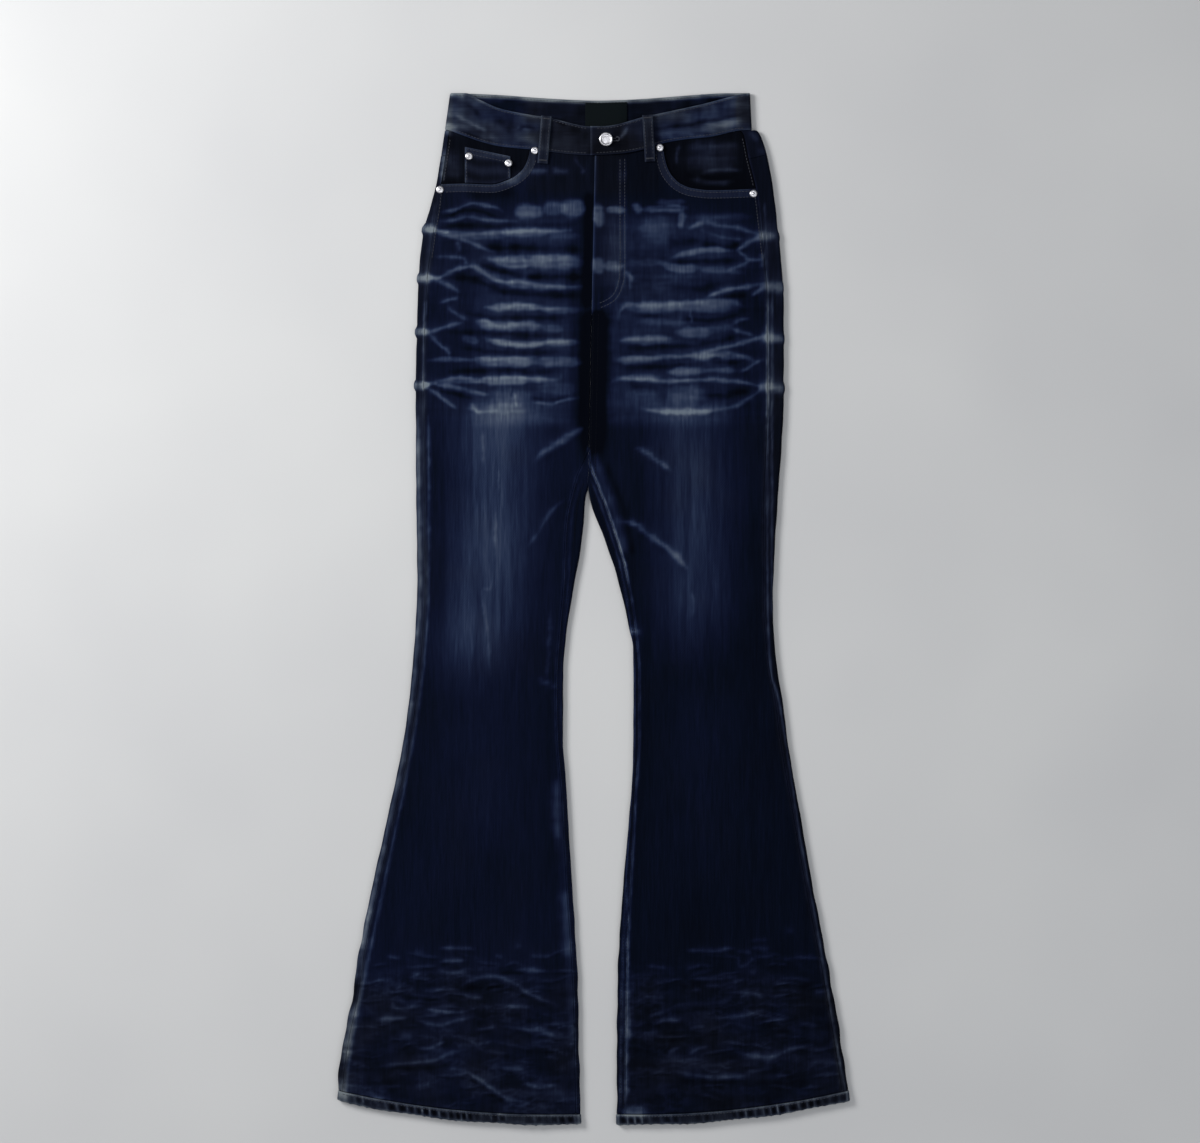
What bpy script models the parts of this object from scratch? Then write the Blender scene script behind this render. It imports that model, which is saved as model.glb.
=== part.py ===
"""Flared jeans lying flat on their back.

The front is up (+Z), the waist is at +Y and the wearer's left is at +X. The cloth is a thin wall,
worked out from the tables below. Lengths in the tables are millimetres; the meshes are in metres.
"""

import math

import bmesh
import bpy
import numpy as np
from mathutils import Vector

MM = 0.001

# cloth and stack heights
CLOTH = 1.4  # wall of one layer of denim
BAND = 2.4  # the waistband is doubled
HEM_CLOTH = 2.2  # the turned hem is doubled
SEAM_GAP = 0.3  # between neighbouring pieces
EDGE_HEIGHT = 6.0  # both layers where they fold round the side
FOLD_WIDTH = 3.0  # how far a side fold rounds inwards
DOME = 0.6  # extra height in the middle of a leg
DOME_REACH = 60.0
FLY_RAISE = 1.8  # the left front lies over the right one at the fly
FLY_WIDTH = 40.0
FLY_END = 335.0
FLY_SHIELD = 8.0  # the right front runs on under the fly
FACING_DEPTH = 1.95  # the pocket facing under the pocket's mouth
FACING_OPEN_DEPTH = 0.4  # and away from the mouth
FACING_UNDERLAP = 8.0
FACING_RISE = 16.0

# centre line: front rise, back rise and the crotch lie on it
CENTRE_X = -6.0
CENTRE_Y = 132.0
CENTRE_SLOPE = 0.02
SEAT_BELOW = 40.0  # the back is cut off at the centre line from this far below the crotch

# hem: an arc that drops towards each leg's inner side
HEM_LOW_Y = -567.5
HEM_LOW_X = 50.0
HEM_RISE = 26.0
HEM_REACH = 230.0
HEM_HEIGHT = 12.0

# rows of the panels: neighbours share those of the leg, which are closest at the crotch
LOWEST_ROW = -505.0
THIGH_LOW = -60.0
WHISKER_LOW = 200.0
HIGHEST_ROW = 438.0
LEG_ROWS = 9
THIGH_ROWS = 15

# back
YOKE_CENTRE_Y = 454.0
YOKE_SIDE_Y = 500.5
BACK_POCKET = {"width": 132.0, "height": 148.0, "top": 432.0, "centre": 95.0, "point": 20.0, "thick": 1.1}
POCKET_LIFT = 1.5  # the seat rises over the pocket that lies under it
LOOP_LIFT = 1.4
LIFT_MARGIN = 13.0
LIFT_FADE = 15.0

LOOP = {"width": 11.5, "thick": 1.8, "bow": 0.9}
BACK_LOOP = {"width": 11.5, "thick": 1.1, "length": 50.0}
BUTTON = {"x": 13.8, "y": 516.5, "radius": 7.5, "height": 3.0}
RIVET = {"radius": 4.1, "height": 1.3}
LABEL = {"x": 14.0, "width": 46.0, "height": 26.0, "thick": 0.5}

# waistband: the right end lies under the left end
BAND_UNDER_END = 36.0
BAND_OVER_END = -2.8
BAND_UNDER_RISE = 1.3
BAND_OVER_RISE = 4.0
BAND_STEP_FROM = 46.0
BAND_STEP_TO = 76.0

# The columns below are named here and the rows run from the waist down.
# y: height on the garment, x: where the edge is
OUTER_LEFT = [  # silhouette of the wearer's left side
    ("y", "x"),
    (530, 178),
    (522, 184),
    (495, 192),
    (473, 196.5),
    (451, 199.5),
    (418, 203),
    (385, 206.5),
    (341, 209.5),
    (231, 209.5),
    (187, 207.5),
    (121, 203),
    (66, 199.5),
    (0, 197.5),
    (-55, 201),
    (-99, 208),
    (-143, 213.5),
    (-231, 228.5),
    (-319, 244),
    (-407, 261),
    (-495, 275.5),
    (-541, 282.3),
    (-569, 286),
]
OUTER_RIGHT = [  # silhouette of the wearer's right side
    ("y", "x"),
    (530, -163.4),
    (489, -169.6),
    (462, -174.6),
    (443, -179.6),
    (428, -184.4),
    (416, -187.4),
    (400, -189.6),
    (365, -192.6),
    (305, -194.6),
    (245, -195.8),
    (176, -195.6),
    (99, -195),
    (33, -194),
    (-33, -197),
    (-99, -203),
    (-165, -213),
    (-209, -222.6),
    (-264, -234.6),
    (-308, -244.4),
    (-374, -257.6),
    (-429, -266),
    (-473, -275),
    (-517, -281),
    (-541, -282.3),
    (-569, -283),
]
INNER_LEFT = [  # inner silhouette of the left leg; above the crotch it is cut off at the centre line
    ("y", "x"),
    (230, -46),
    (198, -32),
    (165, -20),
    (150, -14),
    (140, -9.6),
    (132, -6),
    (124, -4.4),
    (116, -2.6),
    (100, 3),
    (82, 10.6),
    (62, 17.4),
    (44, 24),
    (27, 28),
    (7, 33.5),
    (-20, 39),
    (-42, 43.5),
    (-68, 44),
    (-165, 43.5),
    (-231, 39),
    (-319, 31.5),
    (-396, 27),
    (-440, 26),
    (-569, 25.5),
]
INNER_RIGHT = [  # inner silhouette of the right leg, likewise
    ("y", "x"),
    (230, 30),
    (198, 18),
    (165, 7),
    (150, 1.6),
    (140, -2.4),
    (132, -6),
    (124, -8.6),
    (112, -9.8),
    (99, -10.6),
    (77, -12.8),
    (55, -16),
    (33, -20.4),
    (11, -24),
    (-11, -28),
    (-33, -30.5),
    (-66, -33.3),
    (-143, -33.6),
    (-187, -30.5),
    (-231, -28),
    (-319, -22.6),
    (-407, -17.5),
    (-484, -16),
    (-569, -14),
]
OUTSEAM_LEFT = [  # how far the outseam lies inside the left silhouette
    ("y", "inset"),
    (530, 18),
    (495, 21),
    (457, 19),
    (231, 17.5),
    (138, 16),
    (42, 11),
    (-25, 9.5),
    (-113, 8),
    (-569, 7),
]
OUTSEAM_RIGHT = [  # and inside the right one
    ("y", "inset"),
    (530, 5),
    (462, 5.6),
    (443, 8.2),
    (428, 10.6),
    (416, 11.6),
    (400, 11.4),
    (365, 9.8),
    (305, 8.8),
    (231, 9.2),
    (10, 9),
    (-100, 8),
    (-300, 6.5),
    (-569, 5.5),
]
INSEAM_LEFT = [  # the inseam shows on the front of the left leg
    ("y", "x"),
    (230, -26),
    (205, -16),
    (174, -5.5),
    (157, -2.6),
    (136, 5.5),
    (110, 15.5),
    (77, 26.4),
    (48, 34.7),
    (27, 39),
    (3, 43.5),
    (-22, 46.8),
    (-41, 48.6),
    (-69, 50.5),
    (-135, 50.6),
    (-206, 46.3),
    (-261, 43.5),
    (-319, 40.5),
    (-375, 38),
    (-434, 36.4),
    (-569, 34.5),
]
INSEAM_RIGHT = [  # and on the front of the right leg
    ("y", "x"),
    (230, 14),
    (205, 4),
    (174, -5.5),
    (162, -11),
    (148, -17.5),
    (126, -24),
    (104, -29),
    (82, -31.2),
    (28, -33.2),
    (-21, -37.5),
    (-88, -41.5),
    (-139, -40.5),
    (-203, -35.2),
    (-298, -30),
    (-375, -24.8),
    (-434, -21.8),
    (-569, -19),
]

# x: across the garment, y: height of the edge
FRONT_RIM = [
    ("x", "y"),
    (-164, 568.5),
    (-141, 568.5),
    (-125, 561),
    (-103, 551.5),
    (-70, 544.5),
    (-53, 542),
    (-1, 531.5),
    (10, 531.5),
    (62, 543.5),
    (117, 555.5),
    (171, 568.5),
    (176, 569),
]
BACK_RIM = [
    ("x", "y"),
    (-164, 568.6),
    (-141, 568.4),
    (-125, 567.8),
    (-98, 566.4),
    (-46, 562.8),
    (6, 560.6),
    (50, 562.3),
    (92, 565.4),
    (117, 567.2),
    (139, 568.6),
    (171, 569),
    (176, 569),
]
BAND_SEAM = [  # lower edge of the waistband at the front
    ("x", "y"),
    (-170, 528),
    (-162, 527.5),
    (-146, 522.5),
    (-125, 515),
    (-103, 509.5),
    (-70, 506),
    (-1, 499.5),
    (32, 501.5),
    (56, 506),
    (73, 512),
    (100, 517),
    (129, 520),
    (162, 527),
    (190, 528),
]
BACK_BAND_SEAM = [
    ("x", "y"),
    (-170, 528),
    (-140, 526),
    (7, 520.5),
    (140, 526),
    (190, 528),
]
POCKET_RIM_LEFT = [  # mouth of the front pocket, from its corner at the waistband to the outseam
    ("x", "y"),
    (75.5, 514),
    (77.5, 501),
    (81, 487),
    (86.5, 477),
    (96.5, 468),
    (108.5, 463.5),
    (129, 461.3),
    (190, 463.5),
]
POCKET_RIM_RIGHT = [
    ("x", "y"),
    (-180, 467.5),
    (-143.5, 468.6),
    (-113, 467.5),
    (-91, 474),
    (-79, 483),
    (-72, 496),
    (-70, 507),
]
# honeycomb creases: from a node at the side, over a middle point, to the fly; raise is their height
CREASES_LEFT = [
    ("side_x", "side_y", "mid_x", "mid_y", "end_x", "end_y", "raise_"),
    (196, 445, 106, 444, 7, 440, 0.8),
    (189, 412, 106, 420, 18, 418, 1.0),
    (187, 384, 106, 391, 13, 387, 1.1),
    (192, 356, 117, 372, 18, 372, 0.9),
    (192, 352, 106, 337, 18, 328, 1.2),
    (194, 299, 117, 308, 31, 297, 1.0),
    (194, 299, 117, 284, 24, 277, 1.1),
    (192, 243, 117, 253, 24, 248, 1.1),
    (192, 243, 117, 216, 29, 222, 1.2),
]
CREASES_RIGHT = [
    ("side_x", "side_y", "mid_x", "mid_y", "end_x", "end_y", "raise_"),
    (-172, 446, -94, 438, -12, 442, 0.8),
    (-176, 419, -103, 414, -26, 409, 1.1),
    (-182, 365, -103, 387, -12, 383, 1.1),
    (-182, 365, -103, 352, -15, 356, 1.0),
    (-186, 324, -103, 334, -15, 331, 0.8),
    (-188, 305, -103, 299, -20, 304, 1.1),
    (-188, 245, -103, 268, -26, 277, 1.0),
    (-188, 245, -103, 250, -37, 252, 1.1),
    (-184, 240, -103, 223, -12, 227, 1.2),
]
# creases that run out from the crotch
CROTCH_CREASES = [
    ("from_x", "from_y", "to_x", "to_y", "raise_"),
    (-14, 202, -62, 168, 1.4),
    (50, 177, 84, 155, 1.2),
    (43, 94, 99, 50, 1.4),
    (-34, 118, -48, 104, 0.8),
]
CREASE_WIDTH = 9.0
VALLEY = {"depth": 1.7, "width": 13.0, "low": 186.0, "high": 330.0, "fade": 26.0}

RIVETS = [
    ("name", "x", "y"),
    ("rivet_coin_outer", -137.0, 498.5),
    ("rivet_coin_inner", -93.5, 491.0),
    ("rivet_right_corner", -64.6, 504.8),
    ("rivet_right_side", -169.0, 462.0),
    ("rivet_left_corner", 73.0, 508.0),
    ("rivet_left_side", 176.0, 457.5),
]
FRONT_LOOPS = [
    ("name", "top_x", "top_y", "low_x", "low_y"),
    ("loop_front_right", -51.7, 542.6, -56.0, 490.5),
    ("loop_front_left", 59.3, 543.4, 62.3, 492.5),
]
BACK_LOOPS = [
    ("name", "x"),
    ("loop_side_right", -112.0),
    ("loop_centre_back", 3.0),
    ("loop_side_left", 124.0),
]
COIN_POCKET = {"outer_x": -141.5, "inner_x": -91.5, "outer_y": 509.0, "inner_y": 498.5, "thick": 1.2, "clear": 1.0}

DENIM = (0.018, 0.026, 0.062, 1.0)
DENIM_DARK = (0.012, 0.016, 0.036, 1.0)
SILVER = (0.62, 0.62, 0.6, 1.0)


def rows_of(table):
    """The table's rows as dictionaries of its named columns."""
    names, *rows = table
    return [dict(zip(names, row)) for row in rows]


class Curve:
    """A smooth curve without overshoot through a table of two columns."""

    def __init__(self, table):
        points = np.array(sorted(table[1:]), float)
        self.at = points[:, 0]
        self.value = points[:, 1]
        step = np.diff(self.at)
        slope = np.diff(self.value) / step
        inner = np.where(slope[:-1] * slope[1:] > 0, 2 * slope[:-1] * slope[1:], 0.0)
        total = slope[:-1] + slope[1:]
        inner = np.divide(inner, total, out=np.zeros_like(inner), where=inner != 0)
        self.tangent = np.concatenate([slope[:1], inner, slope[-1:]])

    def __call__(self, place):
        place = np.clip(np.asarray(place, float), self.at[0], self.at[-1])
        i = np.clip(np.searchsorted(self.at, place) - 1, 0, len(self.at) - 2)
        step = self.at[i + 1] - self.at[i]
        t = (place - self.at[i]) / step
        start = (1 + 2 * t) * (1 - t) ** 2 * self.value[i] + t * (1 - t) ** 2 * step * self.tangent[i]
        end = t * t * (3 - 2 * t) * self.value[i + 1] + t * t * (t - 1) * step * self.tangent[i + 1]
        return start + end


def smooth(t):
    t = np.clip(t, 0.0, 1.0)
    return t * t * (3 - 2 * t)


def between(a, b, t):
    return a + (b - a) * t


class Side:
    """One leg with its half of the seat. sign is +1 for the wearer's left and -1 for the right."""

    def __init__(self, name, sign, outer, inner, outseam, inseam, rim, creases):
        self.name = name
        self.sign = sign
        self.outer = Curve(outer)
        self.inner = Curve(inner)
        self.inset = Curve(outseam)
        self.inseam = Curve(inseam)
        self.rim = Curve(rim)
        corners = [row[0] for row in rim[1:]]
        self.corner = min(corners, key=abs)
        self.creases = rows_of(creases)

    def outseam(self, y):
        return self.outer(y) - self.sign * self.inset(y)


LEFT = Side(
    "left", 1, OUTER_LEFT, INNER_LEFT, OUTSEAM_LEFT, INSEAM_LEFT, POCKET_RIM_LEFT, CREASES_LEFT
)
RIGHT = Side(
    "right", -1, OUTER_RIGHT, INNER_RIGHT, OUTSEAM_RIGHT, INSEAM_RIGHT, POCKET_RIM_RIGHT, CREASES_RIGHT
)
front_rim = Curve(FRONT_RIM)
back_rim = Curve(BACK_RIM)
band_seam = Curve(BAND_SEAM)
back_band_seam = Curve(BACK_BAND_SEAM)


def centre_x(y):
    """The centre line down to the crotch; below it nothing meets there."""
    return CENTRE_X + CENTRE_SLOPE * np.maximum(y - CENTRE_Y, 0.0)


def hem_y(x):
    beyond = np.maximum(np.abs(x) - HEM_LOW_X, 0.0)
    return HEM_LOW_Y + HEM_RISE * (beyond / HEM_REACH) ** 2


def yoke_y(x, side):
    reach = abs(side.outer(YOKE_SIDE_Y) - centre_x(YOKE_CENTRE_Y))
    share = side.sign * (x - centre_x(YOKE_CENTRE_Y)) / reach
    return between(YOKE_CENTRE_Y, YOKE_SIDE_Y, np.minimum(share, 1.0))


def stroke(x, y, start, end, width):
    """A soft ridge along a straight stroke: 1 on it, 0 away from it, tapered at its ends."""
    start, end = np.array(start, float), np.array(end, float)
    along = end - start
    length = np.hypot(*along)
    along = along / length
    t = ((x - start[0]) * along[0] + (y - start[1]) * along[1]) / length
    off = (y - start[1]) * along[0] - (x - start[0]) * along[1]
    taper = smooth((t + 0.08) / 0.16) * smooth((1.08 - t) / 0.16)
    return np.exp(-((off / width) ** 2)) * taper


def relief(x, y, side):
    """Height of the largest creases of the front above the plain cloth."""
    height = 0.0
    for c in side.creases:
        side_point = (c["side_x"], c["side_y"])
        mid = (c["mid_x"], c["mid_y"])
        end = (c["end_x"], c["end_y"])
        ridge = np.maximum(
            stroke(x, y, side_point, mid, CREASE_WIDTH), stroke(x, y, mid, end, CREASE_WIDTH)
        )
        height = np.maximum(height, c["raise_"] * ridge)
    for c in rows_of(CROTCH_CREASES):
        ridge = stroke(x, y, (c["from_x"], c["from_y"]), (c["to_x"], c["to_y"]), CREASE_WIDTH)
        height = np.maximum(height, c["raise_"] * ridge)
    inside = smooth((y - VALLEY["low"]) / VALLEY["fade"]) * smooth((VALLEY["high"] - y) / VALLEY["fade"])
    valley = VALLEY["depth"] * np.exp(-(((x - centre_x(y)) / VALLEY["width"]) ** 2)) * inside
    edge = np.abs(side.outer(y) - x)
    return height * smooth((edge - FOLD_WIDTH) / 10.0) - valley


def top_z(x, y, side):
    """Height of the upper cloth's outer face, side folds included."""
    from_outer = side.sign * (side.outer(y) - x)
    from_inner = side.sign * (x - side.inner(y))
    inside = np.minimum(from_outer, from_inner)
    fold = np.clip((FOLD_WIDTH - inside) / FOLD_WIDTH, 0.0, 1.0)
    drop = EDGE_HEIGHT / 2 * (1 - np.sqrt(1 - fold**2))
    dome = DOME * smooth((inside - FOLD_WIDTH) / DOME_REACH)
    return EDGE_HEIGHT + dome + relief(x, y, side) - drop


def fly_raise(x, y):
    """The left front rises where it lies over the right one."""
    across = 1 - smooth((x - centre_x(y)) / FLY_WIDTH)
    return FLY_RAISE * across * smooth((y - FLY_END + 22.0) / 22.0)


def pocket_top_y(x, side):
    """Upper edge of the front panel: the waistband's seam, and the pocket's mouth beside it."""
    past = side.sign * (x - side.corner)
    seam = band_seam(x) - SEAM_GAP
    return np.where(past > 0, np.minimum(seam, side.rim(x)), seam)


def box_lift(x, y, centre, half_width, low, high, margin, fade):
    """1 over a box on the floor and a margin round it, falling to 0 outside."""
    past_x = np.maximum(np.abs(x - centre) - half_width - margin, 0.0)
    past_y = np.maximum(np.maximum(low - y, y - high) - margin, 0.0)
    return smooth(1 - np.hypot(past_x, past_y) / fade)


def floor_z(x, y):
    """Height of the lower cloth's outer face: flat but for what lies under it."""
    pocket = BACK_POCKET
    lift = 0.0
    for sign in (1, -1):
        low = pocket["top"] - pocket["height"]
        over = box_lift(
            x, y, sign * pocket["centre"], pocket["width"] / 2, low, pocket["top"], LIFT_MARGIN, LIFT_FADE
        )
        lift = np.maximum(lift, POCKET_LIFT * over)
    for loop in rows_of(BACK_LOOPS):
        top = back_rim(loop["x"])
        low = top - BACK_LOOP["length"]
        over = box_lift(x, y, loop["x"], BACK_LOOP["width"] / 2, low, top, LIFT_MARGIN, LIFT_FADE)
        lift = np.maximum(lift, LOOP_LIFT * over)
    return lift


def material(name, colour, roughness, metallic=0.0):
    made = bpy.data.materials.new(name)
    made.use_nodes = True
    shader = made.node_tree.nodes["Principled BSDF"]
    shader.inputs["Base Color"].default_value = colour
    shader.inputs["Roughness"].default_value = roughness
    shader.inputs["Metallic"].default_value = metallic
    return made


def add(name, mesh, colour, roughness=0.85, metallic=0.0):
    made = bpy.data.objects.new(name, mesh)
    made.data.materials.append(material(name, colour, roughness, metallic))
    made.data.shade_smooth()
    made.data.set_sharp_from_angle(angle=math.radians(50))
    GARMENT.objects.link(made)
    return made


def skin(name, grid, thickness, flip, colour=DENIM, closed=False, cut=None):
    """A wall whose outer face runs through a grid of points, thickened inwards."""
    rows, columns, _ = grid.shape
    mesh = bpy.data.meshes.new(name)
    bm = bmesh.new()
    verts = [[bm.verts.new(grid[r, c] * MM) for c in range(columns)] for r in range(rows)]
    for r in range(rows - 1):
        for c in range(columns if closed else columns - 1):
            d = (c + 1) % columns
            corners = [verts[r][c], verts[r][d], verts[r + 1][d], verts[r + 1][c]]
            if flip:
                corners.reverse()
            bm.faces.new(corners)
    if cut:
        cut(bm)
    bm.to_mesh(mesh)
    bm.free()
    made = add(name, mesh, colour)
    wall = made.modifiers.new("wall", "SOLIDIFY")
    wall.thickness = thickness * MM
    wall.offset = -1
    wall.use_even_offset = True
    return made


def settle(place, row_height, nominal, count=5):
    """Points whose height depends on where they are: place and height are worked out in turn."""
    y = nominal
    for _ in range(count):
        x, z = place(y)
        y = row_height(x)
    return x, y, z


def panel_rows(top_rows, whisker_rows, hem_rows):
    """Row codes from the hem up: a share of the hem's or the top's stretch, or a fixed height."""
    rows = [("hem", t) for t in np.linspace(0, 1, hem_rows + 1)[:-1]]
    rows += [("leg", y) for y in np.linspace(LOWEST_ROW, THIGH_LOW, LEG_ROWS + 1)[:-1]]
    rows += [("leg", y) for y in np.linspace(THIGH_LOW, WHISKER_LOW, THIGH_ROWS + 1)[:-1]]
    rows += [("leg", y) for y in np.linspace(WHISKER_LOW, HIGHEST_ROW, whisker_rows + 1)[:-1]]
    rows += [("top", t) for t in np.linspace(0, 1, top_rows + 1)]
    return rows


def row_y(code, x, top):
    kind, value = code
    if kind == "leg":
        return value
    if kind == "hem":
        return between(hem_y(x) + HEM_HEIGHT + SEAM_GAP, LOWEST_ROW, value)
    return between(HIGHEST_ROW, top(x), value)


def nominal_y(code):
    kind, value = code
    if kind == "leg":
        return value
    return LOWEST_ROW - 30 if kind == "hem" else HIGHEST_ROW + 30 * value


def front_inner_x(y, side):
    """Inner edge of a front panel: the centre line, and below the crotch the inseam."""
    centre = centre_x(y) + side.sign * SEAM_GAP / 2
    if side.sign < 0:
        centre = centre + FLY_SHIELD * smooth((y - FLY_END - 6.0) / 16.0)
    seam = side.inseam(y) + side.sign * SEAM_GAP / 2
    return np.maximum(centre, seam) if side.sign > 0 else np.minimum(centre, seam)


def front_panel(side):
    shares = [0, 0.08, 0.17, 0.27, 0.36, 0.43, 0.48, 0.53, 0.58, 0.66, 0.76, 0.86, 0.93, 1.0]
    codes = panel_rows(top_rows=5, whisker_rows=16, hem_rows=2)
    grid = np.zeros((len(codes), len(shares), 3))
    for r, code in enumerate(codes):
        for c, share in enumerate(shares):

            def place(y):
                edge = side.outseam(y) - side.sign * SEAM_GAP / 2
                x = between(edge, front_inner_x(y, side), share)
                z = top_z(x, y, side)
                if side.sign > 0:
                    z = z + fly_raise(x, y)
                return x, z

            grid[r, c] = settle(
                place, lambda x: row_y(code, x, lambda x: pocket_top_y(x, side)), nominal_y(code)
            )
    skin(f"front_{side.name}", grid, CLOTH, flip=side.sign > 0)


def fold(edge, sign, angle):
    """A point on the round fold at a side: 90 degrees is on top and -90 on the floor."""
    turn = math.radians(angle)
    x = edge - sign * FOLD_WIDTH * (1 - math.cos(turn))
    return x, EDGE_HEIGHT / 2 * (1 + math.sin(turn))


def lower_path(side, code, y):
    """x and z on the lower cloth, which wraps round both folds to the seams on top."""
    kind, value = code
    sign = side.sign
    inner, outer = side.inner(y), side.outer(y)
    if kind == "inseam":
        x = side.inseam(y) - sign * SEAM_GAP / 2
        return x, top_z(x, y, side)
    if kind == "outseam":
        x = side.outseam(y) + sign * SEAM_GAP / 2
        return x, top_z(x, y, side)
    if kind == "inner":
        return fold(inner, -sign, value)
    if kind == "outer":
        return fold(outer, sign, value)
    start = inner + sign * FOLD_WIDTH if kind == "floor" else centre_x(y) + sign * SEAM_GAP / 2
    x = between(start, outer - sign * FOLD_WIDTH, value)
    return x, floor_z(x, y)


def back_panel(side):
    columns = [("inseam", 0)]
    columns += [("inner", angle) for angle in (90, 45, 0, -45, -90)]
    columns += [("floor", share) for share in (0.08, 0.18, 0.27, 0.36, 0.46, 0.57, 0.68, 0.8, 0.91)]
    columns += [("outer", angle) for angle in (-90, -45, 0, 45, 90)]
    columns += [("outseam", 0)]
    codes = panel_rows(top_rows=3, whisker_rows=8, hem_rows=2)
    grid = np.zeros((len(codes), len(columns), 3))
    for r, code in enumerate(codes):
        for c, column in enumerate(columns):
            grid[r, c] = settle(
                lambda y: lower_path(side, column, y),
                lambda x: row_y(code, x, lambda x: yoke_y(x, side) - SEAM_GAP / 2),
                nominal_y(code),
            )

    def cut(bm):
        keep = Vector((side.sign, -side.sign * CENTRE_SLOPE, 0)).normalized()
        on_line = Vector((CENTRE_X + side.sign * SEAM_GAP / 2, CENTRE_Y, 0)) * MM
        seat = (CENTRE_Y - SEAT_BELOW) * MM
        geometry = [v for v in bm.verts if v.co.y > seat]
        for parts in (bm.edges, bm.faces):
            geometry += [part for part in parts if all(v.co.y > seat for v in part.verts)]
        bmesh.ops.bisect_plane(
            bm, geom=geometry, dist=1e-6, plane_co=on_line, plane_no=keep, clear_inner=True
        )
        bmesh.ops.remove_doubles(bm, verts=bm.verts, dist=2e-5)

    skin(f"back_{side.name}", grid, CLOTH, flip=side.sign > 0, cut=cut)


def under(column):
    """0 for the part of a path that lies on top, 1 for the floor, and between them on the fold."""
    kind, value = column
    if kind == "outer":
        return (90 - value) / 180
    return 0.0 if kind == "outseam" else 1.0


def yoke(side):
    columns = [("half_floor", share) for share in np.linspace(0, 1, 10)[:-1]]
    columns += [("outer", angle) for angle in (-90, -45, 0, 45, 90)]
    columns += [("outseam", 0)]
    shares = np.linspace(0, 1, 5)
    grid = np.zeros((len(shares), len(columns), 3))
    for r, share in enumerate(shares):
        for c, column in enumerate(columns):

            def height(x):
                low = yoke_y(x, side) + SEAM_GAP / 2
                seam = between(band_seam(x), back_band_seam(x), under(column))
                return between(low, seam - SEAM_GAP, share)

            grid[r, c] = settle(lambda y: lower_path(side, column, y), height, YOKE_SIDE_Y)
    skin(f"yoke_{side.name}", grid, CLOTH, flip=side.sign > 0)


def facing_depth(x, y, side):
    """How far the facing lies below the front: deepest under the pocket's mouth."""
    rim_x = np.linspace(side.corner, side.outseam(YOKE_SIDE_Y), 60)
    rim_y = side.rim(rim_x)
    away = np.min(np.hypot(rim_x - x, rim_y - y))
    outside = y > side.rim(x) and side.sign * (x - side.corner) > 0
    share = smooth((away - 2.0) / FACING_RISE) if outside else 0.0
    return between(FACING_DEPTH, FACING_OPEN_DEPTH, share)


def facing_z(x, y, side):
    return top_z(x, y, side) - facing_depth(x, y, side)


def facing(side):
    shares = np.linspace(0, 1, 10)
    rows = np.linspace(0, 1, 6)
    turn = side.corner + side.sign * 12.0
    end = side.corner - side.sign * FACING_UNDERLAP
    grid = np.zeros((len(rows), len(shares), 3))
    for r, row in enumerate(rows):
        for c, share in enumerate(shares):

            def height(x):
                rim_at = x if side.sign * (x - turn) > 0 else turn
                low = side.rim(rim_at) - FACING_UNDERLAP
                return between(low, band_seam(x) - SEAM_GAP, row)

            def place(y):
                edge = side.outseam(y) - side.sign * SEAM_GAP / 2
                x = between(edge, end, share)
                return x, facing_z(x, y, side)

            grid[r, c] = settle(place, height, HIGHEST_ROW + 50)
    skin(f"pocket_facing_{side.name}", grid, CLOTH, flip=side.sign > 0, colour=DENIM_DARK)


def coin_pocket():
    """A small patch on the right facing, tucked behind the pocket's mouth."""
    spec = COIN_POCKET
    out = SEAM_GAP + spec["thick"]
    xs = np.linspace(spec["outer_x"], spec["inner_x"], 6)
    rows = np.linspace(0, 1, 5)
    grid = np.zeros((len(rows), len(xs), 3))
    for c, x in enumerate(xs):
        top = between(spec["outer_y"], spec["inner_y"], c / (len(xs) - 1))
        low = RIGHT.rim(x) + COIN_POCKET["clear"]
        for r, row in enumerate(rows):
            y = between(low, top, row)
            grid[r, c] = x, y, facing_z(x, y, RIGHT) + out
    skin("coin_pocket", grid, spec["thick"], flip=False)


def band_z(x, over):
    """Outer face of the waistband's front, which is thickest where its ends overlap."""
    tip = LEFT.outer(530) if over else RIGHT.outer(530)
    toward = smooth(1 - abs(x) / abs(tip))
    z = EDGE_HEIGHT + BAND_UNDER_RISE * toward
    if over:
        step = 1 - smooth((x - BAND_STEP_FROM) / (BAND_STEP_TO - BAND_STEP_FROM))
        z = z + (BAND_OVER_RISE - BAND_UNDER_RISE) * step
    return z


def band_tip(sign, v):
    """Silhouette of the waistband's side at a share v of its height from the rim down."""
    return between(172.4, 174.4, v) if sign > 0 else between(-158.0, -163.7, v)


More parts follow.
